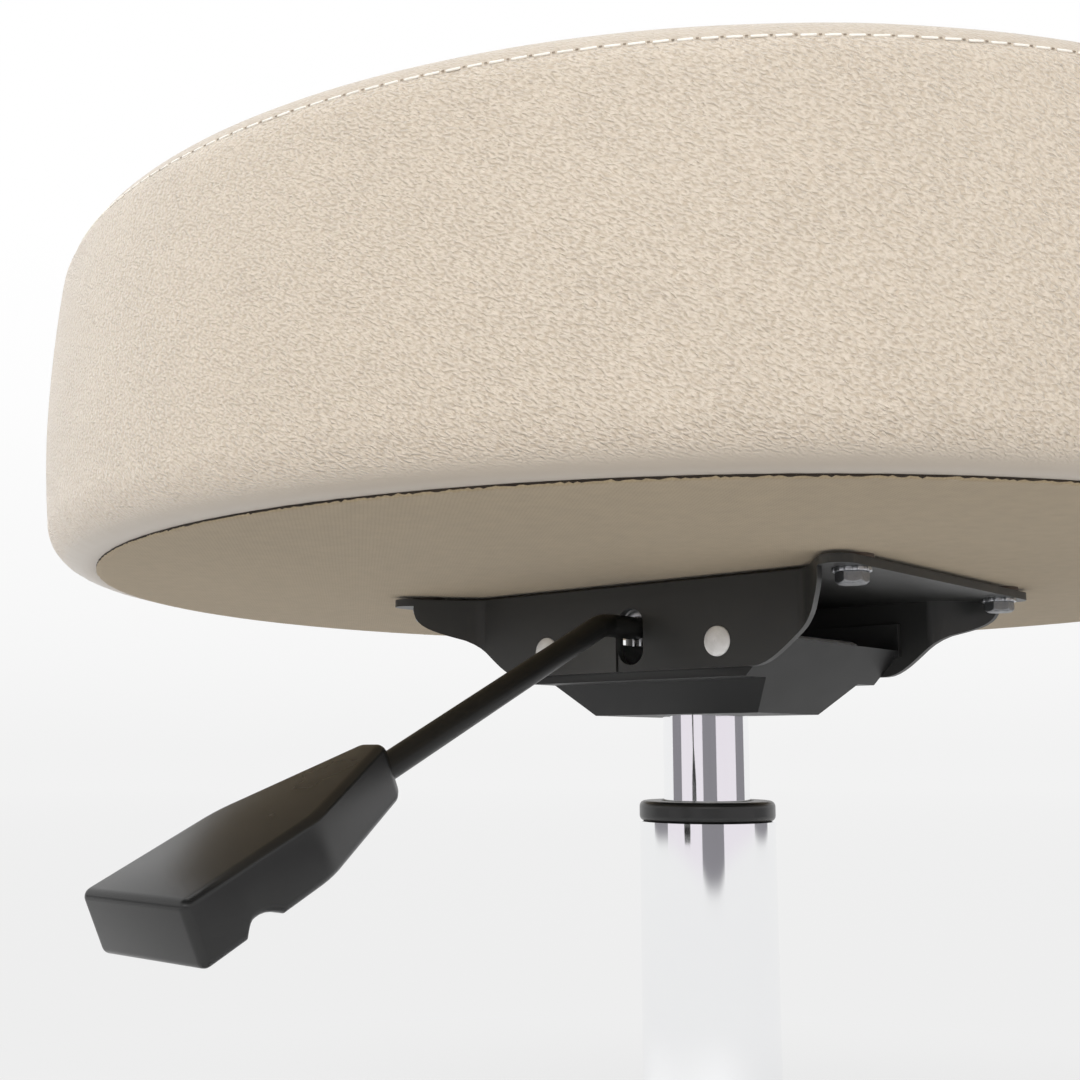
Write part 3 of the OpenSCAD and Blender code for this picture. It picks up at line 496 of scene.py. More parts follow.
# Metals: mirror chrome with crisp bands on the column, hazier chrome on the legs, bright toothed washers, duller
# bolt heads, satin pins, and plain, hardened or yellow metal inside
MIRROR_CHROME = PlatedMetal("mirror_chrome", colour="#fcfdfd", tarnish="#f8f8fa", roughness=0.045, haze=0.012,
                            grain=40 * MM)
BASE_CHROME = PlatedMetal("chromed_leg_steel", roughness=0.09, haze=0.05, grain=14 * MM)
ZINC = PlatedMetal("bright_zinc", colour="#cfd1d3", tarnish="#aeb0b4", roughness=0.28, haze=0.16,
                   grain=1.6 * MM, depth=0.01 * MM)
PIN_STEEL = PlatedMetal("ground_pin_steel", colour="#ffffff", tarnish="#b3afaa", roughness=0.3, haze=0.1,
                        grain=6 * MM, depth=0.15 * MM, metallic=0.3)
DULL_ZINC = PlatedMetal("dull_zinc_bolt_steel", colour="#a3a4a6", tarnish="#7c7d80", roughness=0.36, haze=0.2,
                        grain=1.6 * MM, depth=0.02 * MM)
PLAIN_STEEL = PlatedMetal("bright_drawn_steel", colour="#c4c5c8", tarnish="#a8aaae", roughness=0.25, haze=0.1,
                          grain=3 * MM)
BEARING_STEEL = PlatedMetal("hardened_bearing_steel", colour="#b9bbc0", tarnish="#9fa2a8", roughness=0.14)
BRASS = PlatedMetal("turned_brass", colour="#d3b36a", tarnish="#b8944c", roughness=0.22, haze=0.08)
# Painted steel: satin black with a grey highlight painted on its edges, duller on the rod
BLACK_STEEL = PowderCoat("satin_black_powder_coat")
PAN_STEEL = PowderCoat("satin_black_pressed_pan", colour="#1a1a1a", edge_highlight="#343433", roughness=0.44, gloss=0.3)
BLACK_ROD = PowderCoat("black_coated_rod", colour="#0f0f0e", edge_highlight="#222221", roughness=0.36, depth=0.006 * MM,
                       gloss=0.25)
# Plastics and rubber: a soft gloss on the grip and the ring, matt hoods, grey treads, pale bushes, dull buffers
HANDLE_PLASTIC = MouldedPolymer("moulded_black_nylon", colour="#161616", fleck="#1e1e1d", roughness=0.25, shine=0.44)
RING_PLASTIC = MouldedPolymer("black_acetal_ring", colour="#161616", fleck="#1e1e1e", roughness=0.3, depth=0.005 * MM)
HOOD_PLASTIC = MouldedPolymer("moulded_black_caster_hood", colour="#232324", fleck="#2b2b2c", roughness=0.38)
WHEEL_PLASTIC = MouldedPolymer("grey_polyurethane_tread", colour="#37383a", fleck="#444548", roughness=0.5,
                               grit=0.8 * MM)
BUSH_PLASTIC = MouldedPolymer("pale_acetal_bush", colour="#dcdad2", fleck="#cdcac0", roughness=0.45)
RUBBER = MouldedPolymer("black_rubber_buffer", colour="#1a1a1a", fleck="#262626", roughness=0.8, grit=0.6 * MM)
FIBRE = MouldedPolymer("vulcanised_fibre", colour="#3a2f26", fleck="#52443a", roughness=0.75, grit=0.5 * MM)
CUT_FOAM = MouldedPolymer("cut_polyurethane_foam", colour="#efe5c9", fleck="#dccfa8", roughness=0.95,
                          grit=1.2 * MM, depth=0.3 * MM)
# Board, and the studio's paper and cards, which metal shows as bands
PLYWOOD = PeeledPly("birch_plywood")
PAPER = StudioPaper("seamless_white_paper")
CARD = WallCard("grey_wall_card", colour="#838186", mottled="#8b898e")
FLAG = WallCard("black_studio_flag", colour="#242325", mottled="#2c2b2d", soft=0.25)
WALL = WallCard("pale_lilac_wall", colour="#ebe6ec", mottled="#e7e1e8", soft=0.1)

NODE_FINISHES: dict[str, Finish] = {
    "base_hub": BASE_CHROME, "column_tube": MIRROR_CHROME, "column_ring": RING_PLASTIC,
    "guide_bush": BUSH_PLASTIC, "lower_race": BEARING_STEEL, "upper_race": BEARING_STEEL,
    "ball_cage": BRASS, "piston_rod": PLAIN_STEEL, "piston_head": BUSH_PLASTIC, "bump_stop": RUBBER,
    "retaining_clip": PLAIN_STEEL, "pressure_tube": MIRROR_CHROME, "rod_gland": BUSH_PLASTIC,
    "valve_body": BRASS, "valve_button": PLAIN_STEEL, "taper_socket": BLACK_STEEL,
    "housing_pan": PAN_STEEL, "seat_plate": BLACK_STEEL, "cross_pins": PIN_STEEL,
    "lever_bracket": PLAIN_STEEL, "pivot_pin": PLAIN_STEEL, "lever_rod": BLACK_ROD, "lever_washer": ZINC,
    "lever_handle": HANDLE_PLASTIC, "seat_bolts": DULL_ZINC, "lock_washers": ZINC, "bolt_spacers": FIBRE,
    "tee_nuts": ZINC, "seat_board": PLYWOOD, "seat_foam": CUT_FOAM, "side_cover": VINYL, "top_cover": VINYL,
    "underside_cloth": CLOTH, "caster_stems": PLAIN_STEEL,
}
PART_FINISHES: dict[str, Finish] = {
    "leg": BASE_CHROME, "hood": HOOD_PLASTIC, "axle": PLAIN_STEEL, "wheel": WHEEL_PLASTIC}


# Meshes and objects


def as_mesh(name: str, bm: BMesh) -> Mesh:
    """Returns a new mesh with a bmesh's shape, and frees the bmesh."""
    mesh = bpy.data.meshes.new(name)
    bm.to_mesh(mesh)
    bm.free()
    return mesh


def put_in_scene(name: str, data: ID) -> Object:
    """Returns a new object of the scene with its mesh, camera or lamp."""
    thing = bpy.data.objects.new(name, data)
    bpy.context.scene.collection.objects.link(thing)
    return thing


def join_line(bm: BMesh, points: list[tuple[float, float, float]]) -> list[BMVert]:
    """Lays points in a mesh and joins each to the next.

    Args:
        bm: The mesh.
        points: The places.

    Returns:
        The new vertices, in order.
    """
    verts = [bm.verts.new(point) for point in points]
    for first, second in zip(verts, verts[1:]):
        bm.edges.new((first, second))
    return verts


def turn_solid(bm: BMesh, steps: int) -> None:
    """Spins a section once round the upright axis, and closes it on the axis.

    Args:
        bm: The mesh, which holds the section alone.
        steps: How many columns the full turn has.
    """
    bmesh.ops.spin(bm, geom=bm.verts[:] + bm.edges[:], cent=(0, 0, 0), axis=(0, 0, 1), angle=2 * math.pi,
                   steps=steps, use_merge=True, use_duplicate=False)
    bmesh.ops.remove_doubles(bm, verts=[v for v in bm.verts if math.hypot(v.co.x, v.co.y) < TOUCH], dist=TOUCH)
    bmesh.ops.recalc_face_normals(bm, faces=bm.faces)


def sharp_edges(bm: BMesh, degrees: float) -> list[BMEdge]:
    """Returns the edges whose two faces meet at more than an angle."""
    limit = math.radians(degrees)
    return [e for e in bm.edges if len(e.link_faces) == 2 and e.calc_face_angle(0.0) > limit]


def round_edges(bm: BMesh, edges: list[BMEdge], radius: float, segments: int = 2) -> None:
    """Rounds edges.

    Args:
        bm: The mesh.
        edges: The edges.
        radius: How far the rounding reaches on each side.
        segments: How many faces go across it.
    """
    bmesh.ops.bevel(bm, geom=edges, offset=radius, offset_type="OFFSET", segments=segments, profile=0.5,
                    affect="EDGES", clamp_overlap=True, material=-1)


def noise_round(waves: float, turn: float, level: float = 0.0) -> float:
    """Returns a smooth noise that closes on itself round the upright axis.

    Args:
        waves: How many times it changes in one radian.
        turn: Angle round the axis in radians.
        level: The height at which the noise is read.

    Returns:
        About -1 to 1.
    """
    return noise.noise(Vector((waves * math.cos(turn), waves * math.sin(turn), level)))


# Pieces


def body_of(node: str) -> str:
    """Returns the name of the body that a CAD node rides on."""
    return frame["nodes"][node]["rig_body"]


def node_finish(node: str) -> Finish:
    """Returns the finish of a CAD node, found by its name or by the kind of piece it is."""
    if node in NODE_FINISHES:
        return NODE_FINISHES[node]
    return next(finish for part, finish in PART_FINISHES.items() if part in node)


def make_piece(name: str, bm: BMesh, finishes: list[Finish], body: str, crease: float = 35.0) -> Object:
    """Turns a finished bmesh into a piece of the object.

    Args:
        name: The piece's name.
        bm: The mesh, which is freed.
        finishes: The finishes, in the order of the faces' material numbers.
        body: The CAD body that carries the piece.
        crease: Edges sharper than this many degrees stay sharp.

    Returns:
        The new object.
    """
    for face in bm.faces:
        face.smooth = True
    mesh = as_mesh(name, bm)
    mesh.set_sharp_from_angle(angle=math.radians(crease))
    for finish in finishes:
        mesh.materials.append(finish.material())
    piece = put_in_scene(name, mesh)
    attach(piece, body)
    LOG.info("piece %s: %d faces, on %s", name, len(mesh.polygons), body)
    return piece


@dataclass
class EasedCopy:
    """A CAD node's shape with the fine rounded edges that pressing, moulding or turning leaves."""

    node: str
    radius: float
    sharper_than: float = 38.0
    flat_within: float = 0.3
    bend: float = 0.0
    bend_steps: int = 4
    least_wall: float = 6 * MM

    def turns_down(self, edge: BMEdge, top: float) -> bool:
        """Tells whether the sheet bends down into a wall along an edge of its top face."""
        if len(edge.link_faces) != 2 or min(v.co.z for v in edge.verts) < top - 0.05 * MM:
            return False
        flat, wall = sorted(edge.link_faces, key=lambda f: -f.normal.z)
        deep = min(v.co.z for v in wall.verts) < top - self.least_wall
        return deep and flat.normal.z > 0.9 and abs(wall.normal.z) < 0.3

    def build(self) -> Object:
        """Merges a copy of the node's triangles and bevels its sharp edges.

        Returns:
            The piece that stands for the node.
        """
        bm = bmesh.new()
        bm.from_mesh(frame["nodes"][self.node].data)
        bmesh.ops.remove_doubles(bm, verts=bm.verts, dist=2e-6)
        bmesh.ops.dissolve_limit(bm, angle_limit=math.radians(self.flat_within), verts=bm.verts, edges=bm.edges)
        if self.bend:
            top = max(v.co.z for v in bm.verts)
            bends = [e for e in bm.edges if self.turns_down(e, top)]
            round_edges(bm, bends, self.bend, segments=self.bend_steps)
            LOG.info("%s: %d edges bent", self.node, len(bends))
        round_edges(bm, sharp_edges(bm, self.sharper_than), self.radius)
        piece = make_piece(f"{self.node}_eased", bm, [node_finish(self.node)], body_of(self.node),
                           crease=40.0)
        flats = piece.modifiers.new("flats_stay_flat", "WEIGHTED_NORMAL")
        flats.keep_sharp = True
        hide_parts(self.node)
        return piece


# Upholstery


@dataclass
class FoamPressure:
    """The uneven push of the foam on its cover, found by a cloth simulation on a coarse copy of the cushion."""

    voxel: float = 6 * MM
    pressure: float = 4.0
    frames: int = 20
    cap: float = 6 * MM
    carried: float = 2.5
    near_points: int = 4
    least_distance: float = 0.5 * MM
    least_ring: int = 100
    smoothed: int = 6

    def rough_copy(self, bm: BMesh, sewn: Callable[[Vector], bool]) -> Object:
        """Makes the coarse copy of even cells, with its sewn points in a group.

        Args:
            bm: The spun cushion.
            sewn: Tells whether the cover is held at a point.

        Returns:
            The copy.
        """
        mesh = bpy.data.meshes.new("rough_cushion")
        bm.to_mesh(mesh)
        rough = put_in_scene("rough_cushion", mesh)
        cells = rough.modifiers.new("cells", "REMESH")
        cells.mode = "VOXEL"
        cells.voxel_size = self.voxel
        shaped = bpy.data.meshes.new_from_object(rough.evaluated_get(bpy.context.evaluated_depsgraph_get()))
        rough.modifiers.clear()
        rough.data = shaped
        bpy.data.meshes.remove(mesh)
        held = rough.vertex_groups.new(name="sewn")
        held.add([v.index for v in shaped.vertices if sewn(v.co)], 1.0, "REPLACE")
        return rough

    def press(self, bm: BMesh, sewn: Callable[[Vector], bool]) -> list[tuple[Vector, Vector]]:
        """Lets the foam press on the cover for a few frames.

        Args:
            bm: The spun cushion.
            sewn: Tells whether the cover is held at a point.

        Returns:
            Each coarse point and how far it moved.
        """
        rough = self.rough_copy(bm, sewn)
        cloth = rough.modifiers.new("foam_pressure", "CLOTH")
        cloth.settings.use_pressure = True
        cloth.settings.uniform_pressure_force = self.pressure
        cloth.settings.effector_weights.gravity = 0.0
        cloth.settings.vertex_group_mass = "sewn"
        cloth.collision_settings.use_collision = False
        cloth.point_cache.frame_start = 1
        cloth.point_cache.frame_end = self.frames
        scene = bpy.context.scene
        for frame_number in range(1, self.frames + 1):
            scene.frame_set(frame_number)
        ended = rough.evaluated_get(bpy.context.evaluated_depsgraph_get()).data
        moves = []
        for start, end in zip(rough.data.vertices, ended.vertices):
            move = end.co - start.co
            if move.length > self.cap:
                move = move.normalized() * self.cap
            moves.append((start.co.copy(), move))
        scene.frame_set(1)
        mesh = rough.data
        bpy.data.objects.remove(rough)
        bpy.data.meshes.remove(mesh)
        LOG.info("foam pressure: %d points, largest move %.2f mm", len(moves), max(m.length for _, m in moves) / MM)
        return moves

    def carry(self, bm: BMesh, moves: list[tuple[Vector, Vector]], free: Callable[[Vector], bool]) -> None:
        """Gives the fine cover the unevenness of the coarse one, and leaves its measured outline.

        Args:
            bm: The fine cushion.
            moves: Each coarse point and how far it moved.
            free: Tells whether the cover may move at a point.
        """
        tree = KDTree(len(moves))
        for index, (start, _) in enumerate(moves):
            tree.insert(start, index)
        tree.balance()
        rings: dict[Point, list[BMVert]] = {}
        for vert in bm.verts:
            if free(vert.co):
                key = (round(math.hypot(vert.co.x, vert.co.y), 5), round(vert.co.z, 5))
                rings.setdefault(key, []).append(vert)
        largest = 0.0
        for ring in rings.values():
            ring.sort(key=lambda v: math.atan2(v.co.y, v.co.x))
            lifts = []
            for vert in ring:
                near = tree.find_n(vert.co, self.near_points)
                weights = [1 / (distance + self.least_distance) for _, _, distance in near]
                lift = sum(w * moves[i][1].dot(vert.normal) for w, (_, i, _) in zip(weights, near))
                lifts.append(lift / sum(weights))
            mean, count = sum(lifts) / len(lifts), len(ring)
            if count < self.least_ring:
                continue
            steps = range(-self.smoothed, self.smoothed + 1)
            for index, vert in enumerate(ring):
                soft = sum(lifts[(index + step) % count] for step in steps) / len(steps) - mean
                largest = max(largest, abs(soft))
                vert.co += vert.normal * soft * self.carried
        LOG.info("foam pressure: unevenness up to %.2f mm", largest / MM)


@dataclass
class SeatCushion:
    """The foam seat in its two-piece vinyl cover, with the seam, its allowance and the fold underneath."""

    underside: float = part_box("underside_cloth")[0].z
    radius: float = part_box("side_cover")[1].x
    top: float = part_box("top_cover")[1].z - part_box("underside_cloth")[0].z
    band_bulge: float = 1.5 * MM
    roll_radius: float = 12 * MM
    shoulder_radius: float = 15.2 * MM
    shoulder_inset: float = 1.9 * MM
    band_height: float = 90.2 * MM
    seam_angle: float = 62.0
    belly_height: float = 39.8 * MM
    cover_low: float = 0.8 * MM
    cover_thickness: float = 1.2 * MM
    fold_width: float = 17 * MM
    board_radius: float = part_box("seat_board")[1].x + 0.1 * MM
    board_top: float = 12.9 * MM
    board_gap: float = 0.2 * MM
    groove_depth: float = 0.7 * MM
    groove_width: float = 0.45 * MM
    allowance_rise: float = 0.38 * MM
    upper_allowance: float = 2.6 * MM
    upper_rise: float = 0.25 * MM
    pull_depth: float = 0.16 * MM
    pull_swing: float = 0.08 * MM
    pull_width: float = 0.75 * MM
    pucker_depth: float = 0.22 * MM
    pucker_reach: float = 7 * MM
    pucker_waves: float = 40.0
    pucker_level: float = 3.1
    drift_depth: float = 0.12 * MM
    drift_waves: float = 9.0
    drift_height: float = 30 * MM
    drift_full: float = 200 * MM
    gather_depth: float = 0.25 * MM
    gather_waves: float = 34.0
    gather_height: float = 10 * MM
    gather_over: float = 4 * MM
    roll_fade: float = 5 * MM
    seam_plain: float = 7.6 * MM
    seam_fade: float = 1.6 * MM
    seam_emboss: float = 0.45
    sewn_reach: float = 5 * MM
    seam_zone_in: float = 6 * MM
    seam_zone_down: float = 26 * MM
    stitch_count: int = 272
    stitch_below_seam: float = 8.5 * MM
    stitch_length: float = 3.3 * MM
    stitch_width: float = 0.6 * MM
    stitch_height: float = 0.42 * MM
    stitch_proud: float = 0.02 * MM
    hole_size: Point = (0.6 * MM, 0.42 * MM)
    hole_above: float = 0.3 * MM
    columns_per_stitch: int = 4

    def shoulder_centre(self) -> Point:
        """Returns the centre of the rounded shoulder, as radius and height."""
        height = self.band_height - self.shoulder_radius * math.sin(math.radians(self.seam_angle))
        return self.radius - self.shoulder_inset - self.shoulder_radius, height

    def shoulder(self, angle: float) -> Point:
        """Returns the point of the shoulder at an angle in degrees over the level."""
        centre, turn = self.shoulder_centre(), math.radians(angle)
        return (centre[0] + self.shoulder_radius * math.cos(turn), centre[1] + self.shoulder_radius * math.sin(turn))

    def section(self) -> list[Point]:
        """Works out the outside of the cushion from the fold under the board to the middle of the top.

        Returns:
            Points as radius and height over the underside, close together by the seam.
        """
        roll_centre = self.radius - self.band_bulge - self.roll_radius
        roll_top = self.cover_low + self.roll_radius
        roll_edge = roll_centre + self.roll_radius
        shoulder_edge = self.shoulder(0)
        points = [(roll_centre - self.fold_width * t, self.cover_low) for t in (1.0, 0.6, 0.25)]
        for step in range(11):
            turn = math.radians(-90 + 9 * step)
            points.append((roll_centre + self.roll_radius * math.cos(turn),
                           roll_top + self.roll_radius * math.sin(turn)))
        for step in range(1, 7):
            t = step / 7
            points.append((self.radius - (self.radius - roll_edge) * (1 - t) ** 2,
                           roll_top + (self.belly_height - roll_top) * t))
        for step in range(0, 7):
            t = step / 7
            points.append((self.radius - (self.radius - shoulder_edge[0]) * t * t,
                           self.belly_height + (shoulder_edge[1] - self.belly_height) * t))
        per_mm = math.degrees(MM / self.shoulder_radius)
        below = [13.8, 12.5, 11.5, 10.7, 10.1, 9.7, 9.35, 9.05, 8.75, 8.5, 8.25, 7.95, 7.65, 7.3, 6.7, 5.8, 4.8, 3.8,
                 2.9, 2.1, 1.5, 1.0, 0.6, 0.3, 0.1]
        above = [0, 0.08, 0.2, 0.35, 0.55, 0.8, 1.2, 1.7, 2.3, 3.0, 4.0]
        points += [self.shoulder(self.seam_angle - b * per_mm) for b in below]
        points += [self.shoulder(self.seam_angle + a * per_mm) for a in above]
        points.append(self.shoulder(86))
        start, edge = self.shoulder(90)
        for step in range(1, 13):
            t = step / 12
            points.append((start * (1 - t), edge + (self.top - edge) * (1 - (1 - t) ** 2)))
        return points

    def relief(self, below_seam: float, turn: float) -> float:
        """Tells how far the cover stands out or in, by the seam and the stitches.

        Args:
            below_seam: Distance under the seam along the cover, less than nothing above it.
            turn: Angle round the seat in radians.

        Returns:
            Distance outwards.
        """
        groove = -self.groove_depth * math.exp(-(below_seam / self.groove_width) ** 2)
        allowance = 0.0
        if 0 < below_seam < self.stitch_below_seam:
            allowance = self.allowance_rise * math.sin(math.pi * below_seam / self.stitch_below_seam)
        elif -self.upper_allowance < below_seam < 0:
            allowance = self.upper_rise * math.sin(math.pi * -below_seam / self.upper_allowance)
        from_stitch = (below_seam - self.stitch_below_seam) / self.pull_width
        phase = math.cos(turn * self.stitch_count)
        pull = -(self.pull_depth + self.pull_swing * phase) * math.exp(-from_stitch ** 2)
        pucker = 0.0
        if below_seam > self.stitch_below_seam:
            fade = math.exp(-(below_seam - self.stitch_below_seam) / self.pucker_reach)
            pucker = self.pucker_depth * noise_round(self.pucker_waves, turn, self.pucker_level) * fade
        return groove + allowance + pull + pucker

    def lay_cover(self, bm: BMesh, outside: list[Point]) -> None:
        """Gives the cover its UV map, in metres: round and up on the band, straight across on the top panel.

        Args:
            bm: The spun cushion, before its relief.
            outside: The section that it was spun from.
        """
        tree = KDTree(len(outside))
        path, travelled = [0.0], 0.0
        for first, second in zip(outside, outside[1:]):
            travelled += math.dist(first, second)
            path.append(travelled)
        for index, (radius, height) in enumerate(outside):
            tree.insert((radius, height, 0), index)
        tree.balance()
        lay = bm.loops.layers.uv.new(COVER_MAP)
        emboss = bm.verts.layers.float.new(EMBOSS)
        seam_height = self.shoulder(self.seam_angle)[1]
        seam_path = path[min(range(len(outside)), key=lambda i: abs(outside[i][1] - seam_height))]
        up = {v: path[tree.find((math.hypot(v.co.x, v.co.y), v.co.z - self.underside, 0))[1]] for v in bm.verts}
        # The emboss fades on the roll and by the seam, and the vinyl's finish paints a darker grey there as shade
        for vert, along in up.items():
            off_roll = min(1.0, max(0.0, (along - self.fold_width - self.roll_fade) / self.roll_fade))
            off_seam = min(1.0, max(0.0, abs(seam_path - along) - self.seam_plain) / self.seam_fade)
            vert[emboss] = off_roll * (self.seam_emboss + (1 - self.seam_emboss) * off_seam)
        for face in bm.faces:
            flat = face.calc_center_median().z - self.underside > seam_height
            middle = math.atan2(face.calc_center_median().y, face.calc_center_median().x)
            for loop in face.loops:
                if flat:
                    loop[lay].uv = loop.vert.co.xy
                    continue
                turn = math.atan2(loop.vert.co.y, loop.vert.co.x)
                turn += 2 * math.pi * round((middle - turn) / (2 * math.pi))
                loop[lay].uv = (turn * self.radius, up[loop.vert])

    def is_sewn(self, place: Vector) -> bool:
        """Tells whether the cover is held at a point: under the board, in the roll's foot and at the seam."""
        radius, height = math.hypot(place.x, place.y), place.z - self.underside
        seam = self.shoulder(self.seam_angle)
        if radius < self.board_radius + 2 * MM and height < self.board_top + 2 * MM:
            return True
        return height < self.sewn_reach or math.dist((radius, height), seam) < self.sewn_reach

    def is_free(self, place: Vector) -> bool:
        """Tells whether the cover shows at a point and may be uneven there."""
        radius, height = math.hypot(place.x, place.y), place.z - self.underside
        over_board = radius < self.board_radius + MM and height < self.board_top + MM
        return radius > self.sewn_reach and height > self.sewn_reach + MM and not over_board

    def build(self) -> Object:
        """Spins the section and works the seam, the stitch pulls and the drift of a hand-pulled cover into it.

        Returns:
            The cushion, which stands for both covers and the foam.
        """
        outside = self.section()
        inside = [(0.0, self.board_top), (self.board_radius, self.board_top),
                  (self.board_radius, self.cover_low + self.cover_thickness + self.board_gap),
                  (outside[0][0], self.cover_low + self.cover_thickness)]
        bm = bmesh.new()
        ring = join_line(bm, [(r, 0, self.underside + h) for r, h in outside + inside])
        bm.edges.new((ring[-1], ring[0]))
        turn_solid(bm, self.stitch_count * self.columns_per_stitch)
        self.lay_cover(bm, outside)
        foam = FoamPressure()
        foam.carry(bm, foam.press(bm, self.is_sewn), self.is_free)
        centre = self.shoulder_centre()
        for vert in bm.verts:
            radius, height = math.hypot(vert.co.x, vert.co.y), vert.co.z - self.underside
            if radius < 0.1 * MM or (radius < self.board_radius + TOUCH and height < self.board_top + TOUCH):
                continue
            turn = math.atan2(vert.co.y, vert.co.x)
            outward = Vector((math.cos(turn), math.sin(turn), 0))
            if height > centre[1] and radius > centre[0] - self.seam_zone_in:
                angle = math.atan2(height - centre[1], radius - centre[0])
                below = (math.radians(self.seam_angle) - angle) * self.shoulder_radius
                normal = outward * math.cos(angle) + Vector((0, 0, 1)) * math.sin(angle)
                vert.co += normal * self.relief(below, turn)
            elif height > centre[1] - self.seam_zone_down and radius > centre[0]:
                below = math.radians(self.seam_angle) * self.shoulder_radius + (centre[1] - height)
                vert.co += outward * self.relief(below, turn)
            drift = noise_round(self.drift_waves, turn, height / self.drift_height)
            vert.co += outward * drift * self.drift_depth * min(1.0, radius / self.drift_full)
            if height < self.gather_height and radius > self.board_radius - self.gather_over:
                vert.co += outward * noise_round(self.gather_waves, turn) * self.gather_depth
        cushion = make_piece("seat_cushion", bm, [VINYL], "lift", crease=60.0)
        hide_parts("side_cover", "top_cover", "seat_foam")
        return cushion

    def sew(self) -> Object:
        """Lays the row of topstitches on the band under the seam, with a dark disc of painted shade in each needle
        hole.

        Returns:
            The stitches, as one piece.
        """
        rng = random.Random(7)
        bm = bmesh.new()
        bar = self.rounded_bar((self.stitch_length, self.stitch_width, self.stitch_height), 0)
        hole = self.rounded_bar((*self.hole_size, 0.12 * MM), 1)
        angle = self.seam_angle - math.degrees(self.stitch_below_seam / self.shoulder_radius)
        radius, height = self.shoulder(angle)
        slope = math.radians(angle)
        for index in range(self.stitch_count):
            turn = 2 * math.pi * (index + 0.5) / self.stitch_count
            out = Vector((math.cos(turn) * math.cos(slope), math.sin(turn) * math.cos(slope), math.sin(slope)))
            along = Vector((-math.sin(turn), math.cos(turn), 0))
            across = out.cross(along)
            along = (along + across * (0.06 + rng.uniform(-0.03, 0.03))).normalized()
            across = out.cross(along)
            place = Vector((radius * math.cos(turn), radius * math.sin(turn), self.underside + height))
            place += out * self.stitch_proud
            turned = Matrix((along, across, out)).transposed().to_4x4()
            scale = Matrix.Diagonal((rng.uniform(0.94, 1.05), 1, 1, 1))
            self.lay_bar(bm, bar, Matrix.Translation(place) @ turned @ scale)
            half = Matrix.Rotation(math.pi / self.stitch_count, 4, "Z")
            # A dark disc of painted shade in the needle hole between two stitches
            self.lay_bar(bm, hole, half @ Matrix.Translation(place + across * self.hole_above) @ turned)
        for mesh in (bar, hole):
            bpy.data.meshes.remove(mesh)
        return make_piece("seam_stitches", bm, [THREAD, NEEDLE_HOLE_SHADOW], "lift")

    def rounded_bar(self, size: tuple[float, float, float], finish: int) -> Mesh:
        """Makes one small bar with round edges, to be laid many times.

        Args:
            size: Its length, width and height.
            finish: Its material number.

        Returns:
            The bar's mesh, centred on the origin.
        """
        bm = bmesh.new()
        bmesh.ops.create_cube(bm, size=1.0, matrix=Matrix.Diagonal((*size, 1)))
        round_edges(bm, bm.edges[:], 0.42 * min(size))
        for face in bm.faces:
            face.material_index = finish
        return as_mesh("rounded_bar", bm)

    def lay_bar(self, bm: BMesh, bar: Mesh, place: Matrix) -> None:
        """Adds one copy of a bar.

        Args:
            bm: The mesh that gets the copy.
            bar: The bar.
            place: Where the copy goes.
        """
        count = len(bm.verts)
        bm.from_mesh(bar)
        bm.verts.ensure_lookup_table()
        bmesh.ops.transform(bm, matrix=place, verts=bm.verts[count:])


@dataclass
class UndersideCloth:
    """The disc of lining cloth that closes the seat's underside, with its raw cut edge painted near-black as the
    shadow in the gap by the fold.
    """

    low: Vector = field(default_factory=lambda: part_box("underside_cloth")[0])
    high: Vector = field(default_factory=lambda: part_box("underside_cloth")[1])
    columns: int = 1440
    edge_bevel: float = 0.3 * MM
    fray_depth: float = 0.2 * MM
    fray_waves: float = 55.0
    fray_reach: float = 1 * MM
    tuft_depth: float = 0.5 * MM
    tuft_waves: float = 230.0
    tuft_reach: float = 0.25 * MM

    def build(self) -> Object:
        """Spins the disc and gives its edge the small unevenness of a cut by hand.

        Returns:
            The cloth, as one sheet.
        """
        radius, bottom, top = self.high.x, self.low.z, self.high.z
        bm = bmesh.new()
        radii = [0.0, 0.03, 0.06, 0.09, 0.12, 0.15, 0.175, radius - 6 * MM, radius - 2 * MM, radius - self.edge_bevel]
        line = [(r, bottom) for r in radii] + [(radius, bottom + self.edge_bevel), (radius, top)]
        line += [(r, top) for r in (0.15, 0.09, 0.0)]
        join_line(bm, [(r, 0, z) for r, z in line])
        turn_solid(bm, self.columns)
        for face in bm.faces:
            # Painted shadow: the faces of the cut edge take the near-black edge finish
            centre = face.calc_center_median()
            if math.hypot(centre.x, centre.y) > radius - 0.5 * MM and abs(face.normal.z) < 0.3:
                face.material_index = 1
        for vert in bm.verts:
            reach = math.hypot(vert.co.x, vert.co.y)
            turn = math.atan2(vert.co.y, vert.co.x)
            if reach > radius - self.fray_reach:
                vert.co.xy *= 1 + self.fray_depth * noise_round(self.fray_waves, turn) / reach
            if reach > radius - self.tuft_reach and vert.co.z < top - 0.1 * MM:
                vert.co.z += self.tuft_depth * noise_round(self.tuft_waves, turn)
        cloth = make_piece("underside_lining", bm, [CLOTH, EDGE_GAP_SHADOW], "lift", crease=50.0)
        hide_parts("underside_cloth")
        return cloth


# Lever


